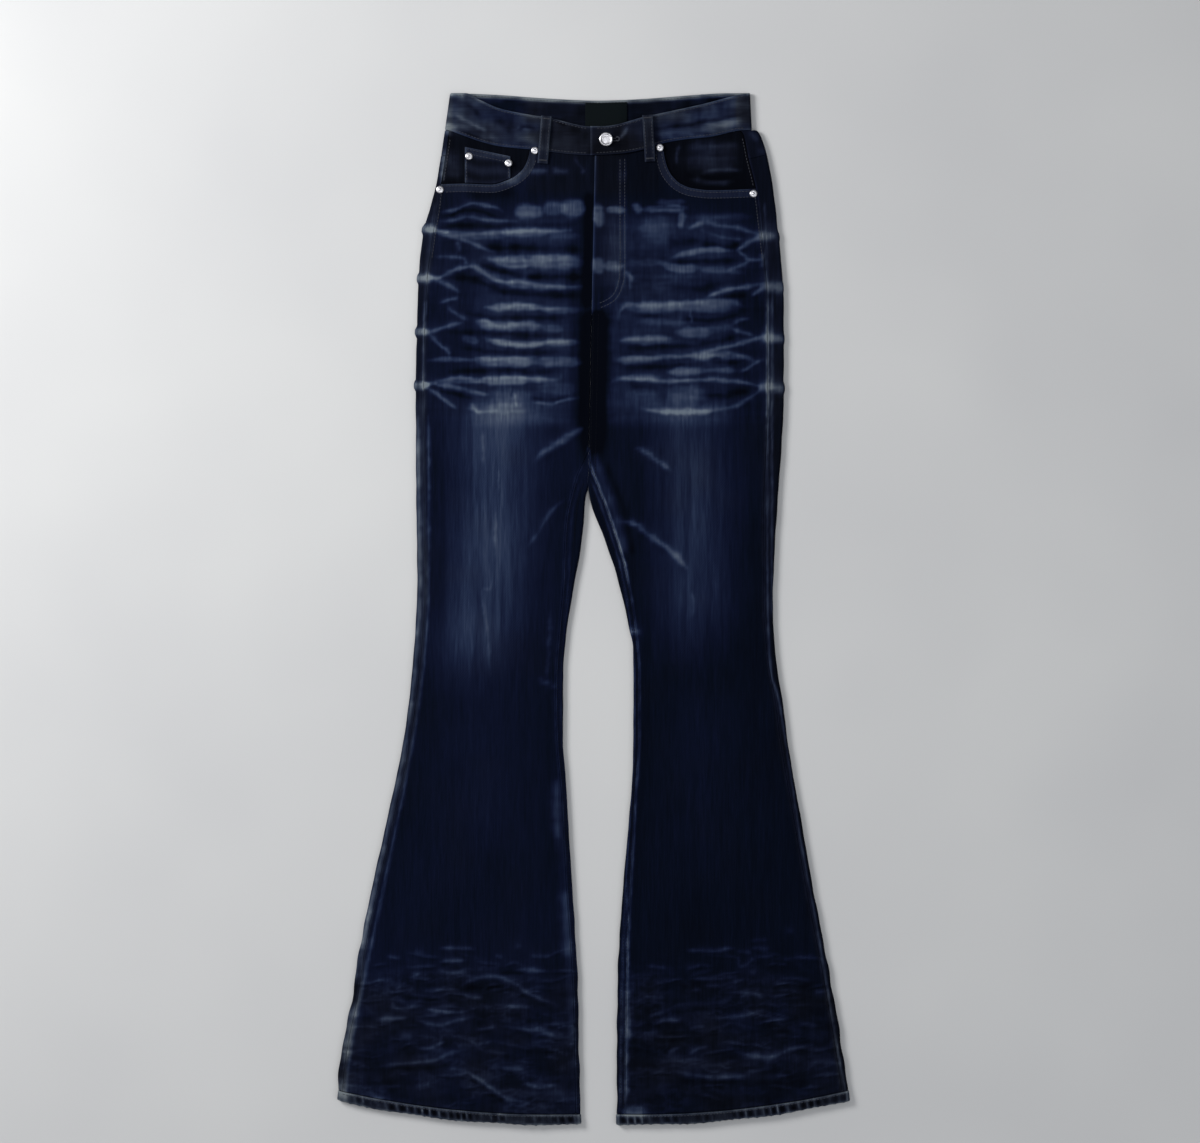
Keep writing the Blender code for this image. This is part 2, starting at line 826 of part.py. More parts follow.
def waistband():
    front = [("front", t) for t in (0, 0.12, 0.2, 0.32, 0.42, 0.52, 0.62, 0.72, 0.82, 0.91)]
    turn = [("turn", angle) for angle in (90, 45, 0, -45, -90)]
    back = [("back", t) for t in np.linspace(0, 1, 18)[1:-1]]
    stations = [(-1, code) for code in front + turn]
    stations += [(0, code) for code in back]
    stations += [(1, code) for code in turn[::-1] + front[::-1]]
    shares = (0.0, 0.33, 0.67, 1.0)
    grid = np.zeros((len(shares), len(stations), 3))
    for r, v in enumerate(shares):
        right = band_tip(-1, v)
        left = band_tip(1, v)
        for c, (sign, (kind, value)) in enumerate(stations):
            if kind == "back":
                x = between(right + FOLD_WIDTH, left - FOLD_WIDTH, value)
                y = between(back_rim(x), back_band_seam(x), v)
                z = floor_z(x, y)
            elif kind == "front":
                start = BAND_OVER_END if sign > 0 else BAND_UNDER_END
                x = between(start, band_tip(sign, v) - sign * FOLD_WIDTH, value)
                y = between(front_rim(x), band_seam(x), v)
                z = band_z(x, sign > 0)
            else:
                x, z = fold(band_tip(sign, v), sign, value)
                y = between(
                    between(front_rim(x), band_seam(x), v),
                    between(back_rim(x), back_band_seam(x), v),
                    (90 - value) / 180,
                )
            grid[r, c] = x, y, z
    skin("waistband", grid, BAND, flip=False)


def hem(side):
    """The turned hem, a doubled band all round the leg's end, a little proud of the panels."""
    proud = 0.5
    columns = [("inner", angle) for angle in (90, 45, 0, -45, -90)]
    columns += [("floor", share) for share in (0.17, 0.34, 0.5, 0.67, 0.84)]
    columns += [("outer", angle) for angle in (-90, -45, 0, 45, 90)]
    columns += [("top", share) for share in (0.84, 0.67, 0.5, 0.34, 0.17)]
    grid = np.zeros((3, len(columns), 3))
    for r, share in enumerate((0.0, 0.5, 1.0)):
        for c, (kind, value) in enumerate(columns):

            def place(y):
                inner = side.inner(y) - side.sign * proud
                outer = side.outer(y) + side.sign * proud
                if kind == "inner":
                    x, z = fold(inner, -side.sign, value)
                elif kind == "outer":
                    x, z = fold(outer, side.sign, value)
                else:
                    x = between(inner + side.sign * FOLD_WIDTH, outer - side.sign * FOLD_WIDTH, value)
                    z = top_z(x, y, side) if kind == "top" else 0.0
                return x, z * (1 + proud / EDGE_HEIGHT)

            grid[r, c] = settle(
                place, lambda x: hem_y(x) + HEM_HEIGHT * share - SEAM_GAP * share, HEM_LOW_Y
            )
    skin(f"hem_{side.name}", grid, HEM_CLOTH, flip=side.sign > 0, closed=True)


def back_pocket(side):
    """A patch pocket under the seat, with a shallow point at its lower edge."""
    spec = BACK_POCKET
    half = spec["width"] / 2
    low = spec["top"] - spec["height"]
    shoulder = low + spec["point"]
    narrow = 0.93
    outline = [(-half, spec["top"]), (half, spec["top"]), (half * narrow, shoulder), (0, low)]
    outline.append((-half * narrow, shoulder))
    curve = bpy.data.curves.new(f"back_pocket_{side.name}", "CURVE")
    curve.dimensions = "2D"
    curve.fill_mode = "BOTH"
    curve.extrude = spec["thick"] / 2 * MM
    line = curve.splines.new("POLY")
    line.points.add(len(outline) - 1)
    for point, (x, y) in zip(line.points, outline):
        point.co = ((x + side.sign * spec["centre"]) * MM, y * MM, 0, 1)
    line.use_cyclic_u = True
    drawn = bpy.data.objects.new(curve.name, curve)
    drawn.location.z = spec["thick"] / 2 * MM
    add_from_curve(drawn)


def add_from_curve(drawn):
    """Turn a flat filled curve into a welded mesh object of the same name."""
    GARMENT.objects.link(drawn)
    bpy.context.view_layer.update()
    name = drawn.name
    mesh = bpy.data.meshes.new_from_object(drawn.evaluated_get(bpy.context.evaluated_depsgraph_get()))
    place = drawn.matrix_world.copy()
    bpy.data.objects.remove(drawn)
    bm = bmesh.new()
    bm.from_mesh(mesh)
    bmesh.ops.remove_doubles(bm, verts=bm.verts, dist=1e-6)
    bm.to_mesh(mesh)
    bm.free()
    made = add(name, mesh, DENIM)
    made.matrix_world = place


def surface_z(x, y):
    """Highest cloth at a point of the front."""
    side = LEFT if x > centre_x(y) else RIGHT
    if y > band_seam(x):
        return band_z(x, side is LEFT)
    if y > pocket_top_y(x, side):
        return facing_z(x, y, side)
    return top_z(x, y, side) + (fly_raise(x, y) if side is LEFT else 0.0)


def front_loop(row):
    """A belt loop tacked at its ends, bowed over the waistband between them."""
    spec = LOOP
    shares = (0.0, 0.08, 0.3, 0.6, 0.8, 0.92, 1.0)
    grid = np.zeros((len(shares), 3, 3))
    seam_share = (row["top_y"] - band_seam(row["top_x"])) / (row["top_y"] - row["low_y"])
    for r, share in enumerate(shares):
        middle = between(row["top_x"], row["low_x"], share)
        y = between(row["top_y"], row["low_y"], share)
        for c, across in enumerate((-0.5, 0.0, 0.5)):
            x = middle + across * spec["width"]
            near = [surface_z(x + dx, y + dy) for dx in (-2, 2) for dy in (-3, 3)]
            lift = spec["bow"] * smooth(share / 0.2) * smooth((1 - share) / 0.2)
            if share < seam_share:
                near.append(band_z(x, x > 0))
            grid[r, c] = x, y, max(near) + SEAM_GAP + lift + spec["thick"]
    skin(row["name"], grid, spec["thick"], flip=True)


def back_loop(row):
    spec = BACK_LOOP
    top = back_rim(row["x"])
    bpy.ops.mesh.primitive_cube_add(size=1)
    made = bpy.context.object
    made.name = row["name"]
    made.data.name = row["name"]
    for vert in made.data.vertices:
        vert.co.x *= spec["width"] * MM
        vert.co.y *= spec["length"] * MM
        vert.co.z *= spec["thick"] * MM
    made.location = (row["x"] * MM, (top - spec["length"] / 2) * MM, spec["thick"] / 2 * MM)
    made.data.materials.append(material(row["name"], DENIM, 0.85))
    for owner in made.users_collection:
        owner.objects.unlink(made)
    GARMENT.objects.link(made)


def turned(name, profile, place, colour, roughness, steps):
    """A round piece from a profile of (radius, height) that runs down its outer side."""
    mesh = bpy.data.meshes.new(name)
    points = [(radius * MM, 0, height * MM) for radius, height in profile]
    edges = [(i, i + 1) for i in range(len(points) - 1)]
    mesh.from_pydata(points, edges, [])
    made = add(name, mesh, colour, roughness, 1.0)
    spin = made.modifiers.new("turn", "SCREW")
    spin.axis = "Z"
    spin.steps = steps
    spin.render_steps = steps
    spin.use_merge_vertices = True
    spin.merge_threshold = 0.00001
    made.location = [value * MM for value in place]


def button():
    spec = BUTTON
    radius = spec["radius"]
    base = band_z(spec["x"], True) + SEAM_GAP
    profile = [(0, spec["height"])]
    profile += [(radius * 0.55, spec["height"] - 0.15), (radius * 0.75, spec["height"] - 0.5)]
    profile += [(radius * 0.86, spec["height"] - 0.3), (radius * 0.97, spec["height"] - 0.7)]
    profile += [(radius, spec["height"] - 1.3), (radius * 0.9, spec["height"] - 2.0)]
    profile += [(radius * 0.5, spec["height"] - 2.1), (radius * 0.5, 0), (0, 0)]
    turned("waist_button", profile, (spec["x"], spec["y"], base), SILVER, 0.3, 16)


def rivet(row):
    radius, height = RIVET["radius"], RIVET["height"]
    around = [math.radians(a) for a in range(0, 360, 30)]
    under = [
        surface_z(row["x"] + radius * math.cos(a), row["y"] + radius * math.sin(a)) for a in around
    ]
    under.append(surface_z(row["x"], row["y"]))
    if row["name"].startswith("rivet_coin"):
        under.append(facing_z(row["x"], row["y"], RIGHT) + COIN_POCKET["thick"] + 2 * SEAM_GAP)
    base = max(under) + SEAM_GAP
    profile = [(0, height), (radius * 0.35, height), (radius * 0.5, height * 0.7)]
    profile += [(radius * 0.85, height * 0.62), (radius, height * 0.3), (radius * 0.96, 0), (0, 0)]
    turned(row["name"], profile, (row["x"], row["y"], base), SILVER, 0.35, 10)


def label():
    """A plain woven patch on the inside of the waistband's back."""
    spec = LABEL
    xs = np.linspace(spec["x"] - spec["width"] / 2, spec["x"] + spec["width"] / 2, 7)
    shares = np.linspace(0, 1, 4)
    grid = np.zeros((len(shares), len(xs), 3))
    for c, x in enumerate(xs):
        for r, share in enumerate(shares):
            y = back_rim(x) - 3.0 - spec["height"] * (1 - share)
            floor = max(floor_z(x + d, y) for d in (-6.0, 0.0, 6.0))
            grid[r, c] = x, y, floor + BAND + SEAM_GAP + spec["thick"]
    skin("inside_label", grid, spec["thick"], flip=False, colour=DENIM_DARK)


for old in list(bpy.data.objects):
    bpy.data.objects.remove(old)
GARMENT = bpy.data.collections.new("flared_jeans")
bpy.context.scene.collection.children.link(GARMENT)

for half in (LEFT, RIGHT):
    front_panel(half)
    back_panel(half)
    yoke(half)
    facing(half)
    hem(half)
    back_pocket(half)
waistband()
coin_pocket()
label()
for loop_row in rows_of(FRONT_LOOPS):
    front_loop(loop_row)
for loop_row in rows_of(BACK_LOOPS):
    back_loop(loop_row)
button()
for rivet_row in rows_of(RIVETS):
    rivet(rivet_row)
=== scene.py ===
"""Flared denim jeans lying flat on their back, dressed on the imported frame.

The tables of the plain form repeat the part's own sizes. Lengths are millimetres in the frame's axes: x runs
to the wearer's left, y to the waist, z up. Meshes are in metres.
"""

import math

import bpy
import numpy as np
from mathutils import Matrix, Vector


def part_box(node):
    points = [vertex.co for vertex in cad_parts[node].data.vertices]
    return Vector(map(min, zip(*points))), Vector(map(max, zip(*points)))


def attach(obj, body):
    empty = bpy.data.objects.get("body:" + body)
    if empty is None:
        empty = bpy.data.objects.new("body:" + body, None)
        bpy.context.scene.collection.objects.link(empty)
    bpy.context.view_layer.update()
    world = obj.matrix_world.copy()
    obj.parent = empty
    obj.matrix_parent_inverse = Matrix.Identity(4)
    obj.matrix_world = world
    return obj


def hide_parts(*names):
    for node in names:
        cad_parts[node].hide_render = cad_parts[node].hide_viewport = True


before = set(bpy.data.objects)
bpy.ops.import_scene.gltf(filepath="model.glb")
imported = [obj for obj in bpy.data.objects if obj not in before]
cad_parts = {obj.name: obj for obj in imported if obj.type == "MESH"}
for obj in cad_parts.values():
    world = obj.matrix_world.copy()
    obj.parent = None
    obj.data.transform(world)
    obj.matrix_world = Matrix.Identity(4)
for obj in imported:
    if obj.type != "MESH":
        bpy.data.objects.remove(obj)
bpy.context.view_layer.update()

MM = 0.001

# cloth and stack heights
BAND = 2.4  # the waistband is doubled
HEM_CLOTH = 2.2  # the turned hem is doubled
SEAM_GAP = 0.3  # between neighbouring pieces
EDGE_HEIGHT = 6.0  # both layers where they fold round the side
FOLD_WIDTH = 3.0  # how far a side fold rounds inwards
DOME = 0.6  # extra height in the middle of a leg
DOME_REACH = 60.0
FLY_RAISE = 1.8  # the left front lies over the right one at the fly
FLY_WIDTH = 40.0
FLY_END = 335.0
FLY_SHIELD = 8.0  # the right front runs on under the fly
FACING_DEPTH = 1.95  # the pocket facing under the pocket's mouth
FACING_OPEN_DEPTH = 0.4  # and away from the mouth
FACING_UNDERLAP = 8.0
FACING_RISE = 16.0

# centre line: front rise, back rise and the crotch lie on it
CENTRE_X = -6.0
CENTRE_Y = 132.0
CENTRE_SLOPE = 0.02

# hem: an arc that drops towards each leg's inner side
HEM_LOW_Y = -567.5
HEM_LOW_X = 50.0
HEM_RISE = 26.0
HEM_REACH = 230.0
HEM_HEIGHT = 12.0

HIGHEST_ROW = 438.0  # above it the fronts' rows run up to the pocket's mouth

# back
YOKE_CENTRE_Y = 454.0
YOKE_SIDE_Y = 500.5
BACK_POCKET = {"width": 132.0, "height": 148.0, "top": 432.0, "centre": 95.0, "point": 20.0, "thick": 1.1}
POCKET_LIFT = 1.5  # the seat rises over the pocket that lies under it
LOOP_LIFT = 1.4
LIFT_MARGIN = 13.0
LIFT_FADE = 15.0

LOOP = {"width": 11.5, "thick": 1.8, "bow": 0.9}
BACK_LOOP = {"width": 11.5, "thick": 1.1, "length": 50.0}
BUTTON = {"x": 13.8, "y": 516.5, "radius": 7.5, "height": 3.0}
LABEL = {"x": 14.0, "width": 46.0, "height": 26.0, "thick": 0.5}

# waistband: the right end lies under the left end
BAND_UNDER_END = 36.0
BAND_OVER_END = -2.8
BAND_UNDER_RISE = 1.3
BAND_OVER_RISE = 4.0
BAND_STEP_FROM = 46.0
BAND_STEP_TO = 76.0

# The columns below are named here and the rows run from the waist down.
# y: height on the garment, x: where the edge is
OUTER_LEFT = [  # silhouette of the wearer's left side
    ("y", "x"),
    (530, 178), (522, 184), (495, 192), (473, 196.5), (451, 199.5), (418, 203), (385, 206.5),
    (341, 209.5), (231, 209.5), (187, 207.5), (121, 203), (66, 199.5), (0, 197.5), (-55, 201),
    (-99, 208), (-143, 213.5), (-231, 228.5), (-319, 244), (-407, 261), (-495, 275.5),
    (-541, 282.3), (-569, 286),
]
OUTER_RIGHT = [  # silhouette of the wearer's right side
    ("y", "x"),
    (530, -163.4), (489, -169.6), (462, -174.6), (443, -179.6), (428, -184.4), (416, -187.4),
    (400, -189.6), (365, -192.6), (305, -194.6), (245, -195.8), (176, -195.6), (99, -195),
    (33, -194), (-33, -197), (-99, -203), (-165, -213), (-209, -222.6), (-264, -234.6),
    (-308, -244.4), (-374, -257.6), (-429, -266), (-473, -275), (-517, -281), (-541, -282.3),
    (-569, -283),
]
INNER_LEFT = [  # inner silhouette of the left leg; above the crotch it is cut off at the centre line
    ("y", "x"),
    (230, -46), (198, -32), (165, -20), (150, -14), (140, -9.6), (132, -6), (124, -4.4),
    (116, -2.6), (100, 3), (82, 10.6), (62, 17.4), (44, 24), (27, 28), (7, 33.5), (-20, 39),
    (-42, 43.5), (-68, 44), (-165, 43.5), (-231, 39), (-319, 31.5), (-396, 27), (-440, 26),
    (-569, 25.5),
]
INNER_RIGHT = [  # inner silhouette of the right leg, likewise
    ("y", "x"),
    (230, 30), (198, 18), (165, 7), (150, 1.6), (140, -2.4), (132, -6), (124, -8.6), (112, -9.8),
    (99, -10.6), (77, -12.8), (55, -16), (33, -20.4), (11, -24), (-11, -28), (-33, -30.5),
    (-66, -33.3), (-143, -33.6), (-187, -30.5), (-231, -28), (-319, -22.6), (-407, -17.5),
    (-484, -16), (-569, -14),
]
OUTSEAM_LEFT = [  # how far the outseam lies inside the left silhouette
    ("y", "inset"),
    (530, 18), (495, 21), (457, 19), (231, 17.5), (138, 16), (42, 11), (-25, 9.5), (-113, 8),
    (-569, 7),
]
OUTSEAM_RIGHT = [  # and inside the right one
    ("y", "inset"),
    (530, 5), (462, 5.6), (443, 8.2), (428, 10.6), (416, 11.6), (400, 11.4), (365, 9.8), (305, 8.8),
    (231, 9.2), (10, 9), (-100, 8), (-300, 6.5), (-569, 5.5),
]
INSEAM_LEFT = [  # the inseam shows on the front of the left leg
    ("y", "x"),
    (230, -26), (205, -16), (174, -5.5), (157, -2.6), (136, 5.5), (110, 15.5), (77, 26.4),
    (48, 34.7), (27, 39), (3, 43.5), (-22, 46.8), (-41, 48.6), (-69, 50.5), (-135, 50.6),
    (-206, 46.3), (-261, 43.5), (-319, 40.5), (-375, 38), (-434, 36.4), (-569, 34.5),
]
INSEAM_RIGHT = [  # and on the front of the right leg
    ("y", "x"),
    (230, 14), (205, 4), (174, -5.5), (162, -11), (148, -17.5), (126, -24), (104, -29), (82, -31.2),
    (28, -33.2), (-21, -37.5), (-88, -41.5), (-139, -40.5), (-203, -35.2), (-298, -30),
    (-375, -24.8), (-434, -21.8), (-569, -19),
]

# x: across the garment, y: height of the edge
FRONT_RIM = [
    ("x", "y"),
    (-164, 568.5), (-141, 568.5), (-125, 561), (-103, 551.5), (-70, 544.5), (-53, 542), (-1, 531.5),
    (10, 531.5), (62, 543.5), (117, 555.5), (171, 568.5), (176, 569),
]
BACK_RIM = [
    ("x", "y"),
    (-164, 568.6), (-141, 568.4), (-125, 567.8), (-98, 566.4), (-46, 562.8), (6, 560.6),
    (50, 562.3), (92, 565.4), (117, 567.2), (139, 568.6), (171, 569), (176, 569),
]
BAND_SEAM = [  # lower edge of the waistband at the front
    ("x", "y"),
    (-170, 528), (-162, 527.5), (-146, 522.5), (-125, 515), (-103, 509.5), (-70, 506), (-1, 499.5),
    (32, 501.5), (56, 506), (73, 512), (100, 517), (129, 520), (162, 527), (190, 528),
]
BACK_BAND_SEAM = [
    ("x", "y"),
    (-170, 528), (-140, 526), (7, 520.5), (140, 526), (190, 528),
]
POCKET_RIM_LEFT = [  # mouth of the front pocket, from its corner at the waistband to the outseam
    ("x", "y"),
    (75.5, 514), (77.5, 501), (81, 487), (86.5, 477), (96.5, 468), (108.5, 463.5), (129, 461.3),
    (190, 463.5),
]
POCKET_RIM_RIGHT = [
    ("x", "y"),
    (-180, 467.5), (-143.5, 468.6), (-113, 467.5), (-91, 474), (-79, 483), (-72, 496), (-70, 507),
]
# honeycomb creases: from a node at the side, over a middle point, to the fly; raise is their height
CREASES_LEFT = [
    ("side_x", "side_y", "mid_x", "mid_y", "end_x", "end_y", "raise_"),
    (196, 445, 106, 444, 7, 440, 0.8),
    (189, 412, 106, 420, 18, 418, 1.0),
    (187, 384, 106, 391, 13, 387, 1.1),
    (192, 356, 117, 372, 18, 372, 0.9),
    (192, 352, 106, 337, 18, 328, 1.2),
    (194, 299, 117, 308, 31, 297, 1.0),
    (194, 299, 117, 284, 24, 277, 1.1),
    (192, 243, 117, 253, 24, 248, 1.1),
    (192, 243, 117, 216, 29, 222, 1.2),
]
CREASES_RIGHT = [
    ("side_x", "side_y", "mid_x", "mid_y", "end_x", "end_y", "raise_"),
    (-172, 446, -94, 438, -12, 442, 0.8),
    (-176, 419, -103, 414, -26, 409, 1.1),
    (-182, 365, -103, 387, -12, 383, 1.1),
    (-182, 365, -103, 352, -15, 356, 1.0),
    (-186, 324, -103, 334, -15, 331, 0.8),
    (-188, 305, -103, 299, -20, 304, 1.1),
    (-188, 245, -103, 268, -26, 277, 1.0),
    (-188, 245, -103, 250, -37, 252, 1.1),
    (-184, 240, -103, 223, -12, 227, 1.2),
]
# creases that run out from the crotch
CROTCH_CREASES = [
    ("from_x", "from_y", "to_x", "to_y", "raise_"),
    (-14, 202, -62, 168, 1.4),
    (50, 177, 84, 155, 1.2),
    (43, 94, 99, 50, 1.4),
    (-34, 118, -48, 104, 0.8),
]
CREASE_WIDTH = 9.0
VALLEY = {"depth": 1.7, "width": 13.0, "low": 186.0, "high": 330.0, "fade": 26.0}

RIVETS = [
    ("name", "x", "y"),
    ("rivet_coin_outer", -137.0, 498.5),
    ("rivet_coin_inner", -93.5, 491.0),
    ("rivet_right_corner", -64.6, 504.8),
    ("rivet_right_side", -169.0, 462.0),
    ("rivet_left_corner", 73.0, 508.0),
    ("rivet_left_side", 176.0, 457.5),
]
FRONT_LOOPS = [
    ("name", "top_x", "top_y", "low_x", "low_y"),
    ("loop_front_right", -51.7, 542.6, -56.0, 490.5),
    ("loop_front_left", 59.3, 543.4, 62.3, 492.5),
]
BACK_LOOPS = [
    ("name", "x"),
    ("loop_side_right", -112.0),
    ("loop_centre_back", 3.0),
    ("loop_side_left", 124.0),
]
COIN_POCKET = {
    "outer_x": -141.5, "inner_x": -91.5, "outer_y": 509.0, "inner_y": 498.5, "thick": 1.2, "clear": 1.0,
}

# strokes, each as its width, how light it is (below 0 it is darker) and the x and y of its points
WORN_BANDS = [
    (15, 0.5, -82, 438, -59, 437),
    (18, 0.5, -27, 441, -16, 441),
    (14, 0.3, -53, 441, -31, 442),
    (7, 0.26, -97, 413, -48, 414),
    (5, 0.18, -152, 410, -97, 410),
    (6, 0.14, -48, 411, -15, 411),
    (12, 0.42, -112, 385, -90, 381, -70, 381),
    (14, 0.4, -72, 382, -13, 382),
    (7, 0.22, -97, 359, -70, 355),
    (6, 0.15, -70, 354, -13, 354),
    (8, 0.34, -114, 332, -94, 333, -57, 332),
    (7, 0.22, -57, 329, -15, 330),
    (10, 0.3, -128, 316, -108, 312, -81, 311),
    (9, 0.32, -97, 311, -57, 312),
    (8, 0.15, -57, 310, -35, 308),
    (7, 0.28, -117, 296, -86, 292, -53, 292),
    (6, 0.18, -53, 292, -15, 294),
    (7, 0.2, -145, 299, -127, 295),
    (10, 0.42, -128, 274, -103, 272, -63, 272),
    (9, 0.24, -61, 272, -12, 272),
    (4.4, 0.26, -182, 275, -160, 275, -128, 274),
    (8, 0.46, -125, 251, -68, 252),
    (6, 0.26, -174, 251, -125, 252),
    (5, 0.2, -68, 252, -39, 252),
    (20, 0.12, -107, 235, -74, 235),
    (5, 0.18, -174, 248, -141, 241, -116, 235),
    (10, 0.14, -119, 221, -72, 220),
    (12, 0.1, -59, 244, -20, 242),
    (11, 0.42, 5, 444, 7, 422),
    (7, 0.4, 15, 440, 34, 439),
    (9, 0.42, 46, 444, 51, 439),
    (7, 0.42, 54, 440, 102, 441),
    (5, 0.2, 68, 448, 101, 448),
    (7, 0.34, 98, 437, 96, 420),
    (8, 0.13, 106, 432, 174, 432),
    (26, 0.17, 60, 420, 75, 418),
    (6, 0.3, 84, 386, 104, 392, 128, 396, 153, 395),
    (9, 0.24, 73, 381, 95, 375, 117, 376),
    (6, 0.2, 117, 375, 141, 373, 166, 371),
    (12, 0.38, 5, 383, 6, 373),
    (10, 0.3, 13, 378, 31, 377),
    (7, 0.13, 35, 381, 79, 382),
    (20, 0.1, 62, 358, 117, 358),
    (12, 0.35, 38, 332, 73, 333, 117, 334, 159, 332),
    (10, 0.14, 51, 317, 106, 317),
    (11, 0.38, 93, 305, 128, 304),
    (6, 0.22, 31, 294, 90, 295),
    (8, 0.14, 123, 308, 156, 311),
    (8, 0.26, 26, 274, 73, 275),
    (10, 0.38, 106, 278, 135, 282),
    (5, 0.2, 135, 279, 167, 277),
    (8, 0.34, 81, 261, 123, 263),
    (5, 0.2, 123, 263, 157, 263),
    (7, 0.2, 24, 254, 73, 255),
    (20, 0.18, 86, 237, 120, 237),
    (7, 0.19, 62, 219, 90, 218, 117, 218, 137, 220),
    (12, 0.08, 35, 237, 68, 235),
]
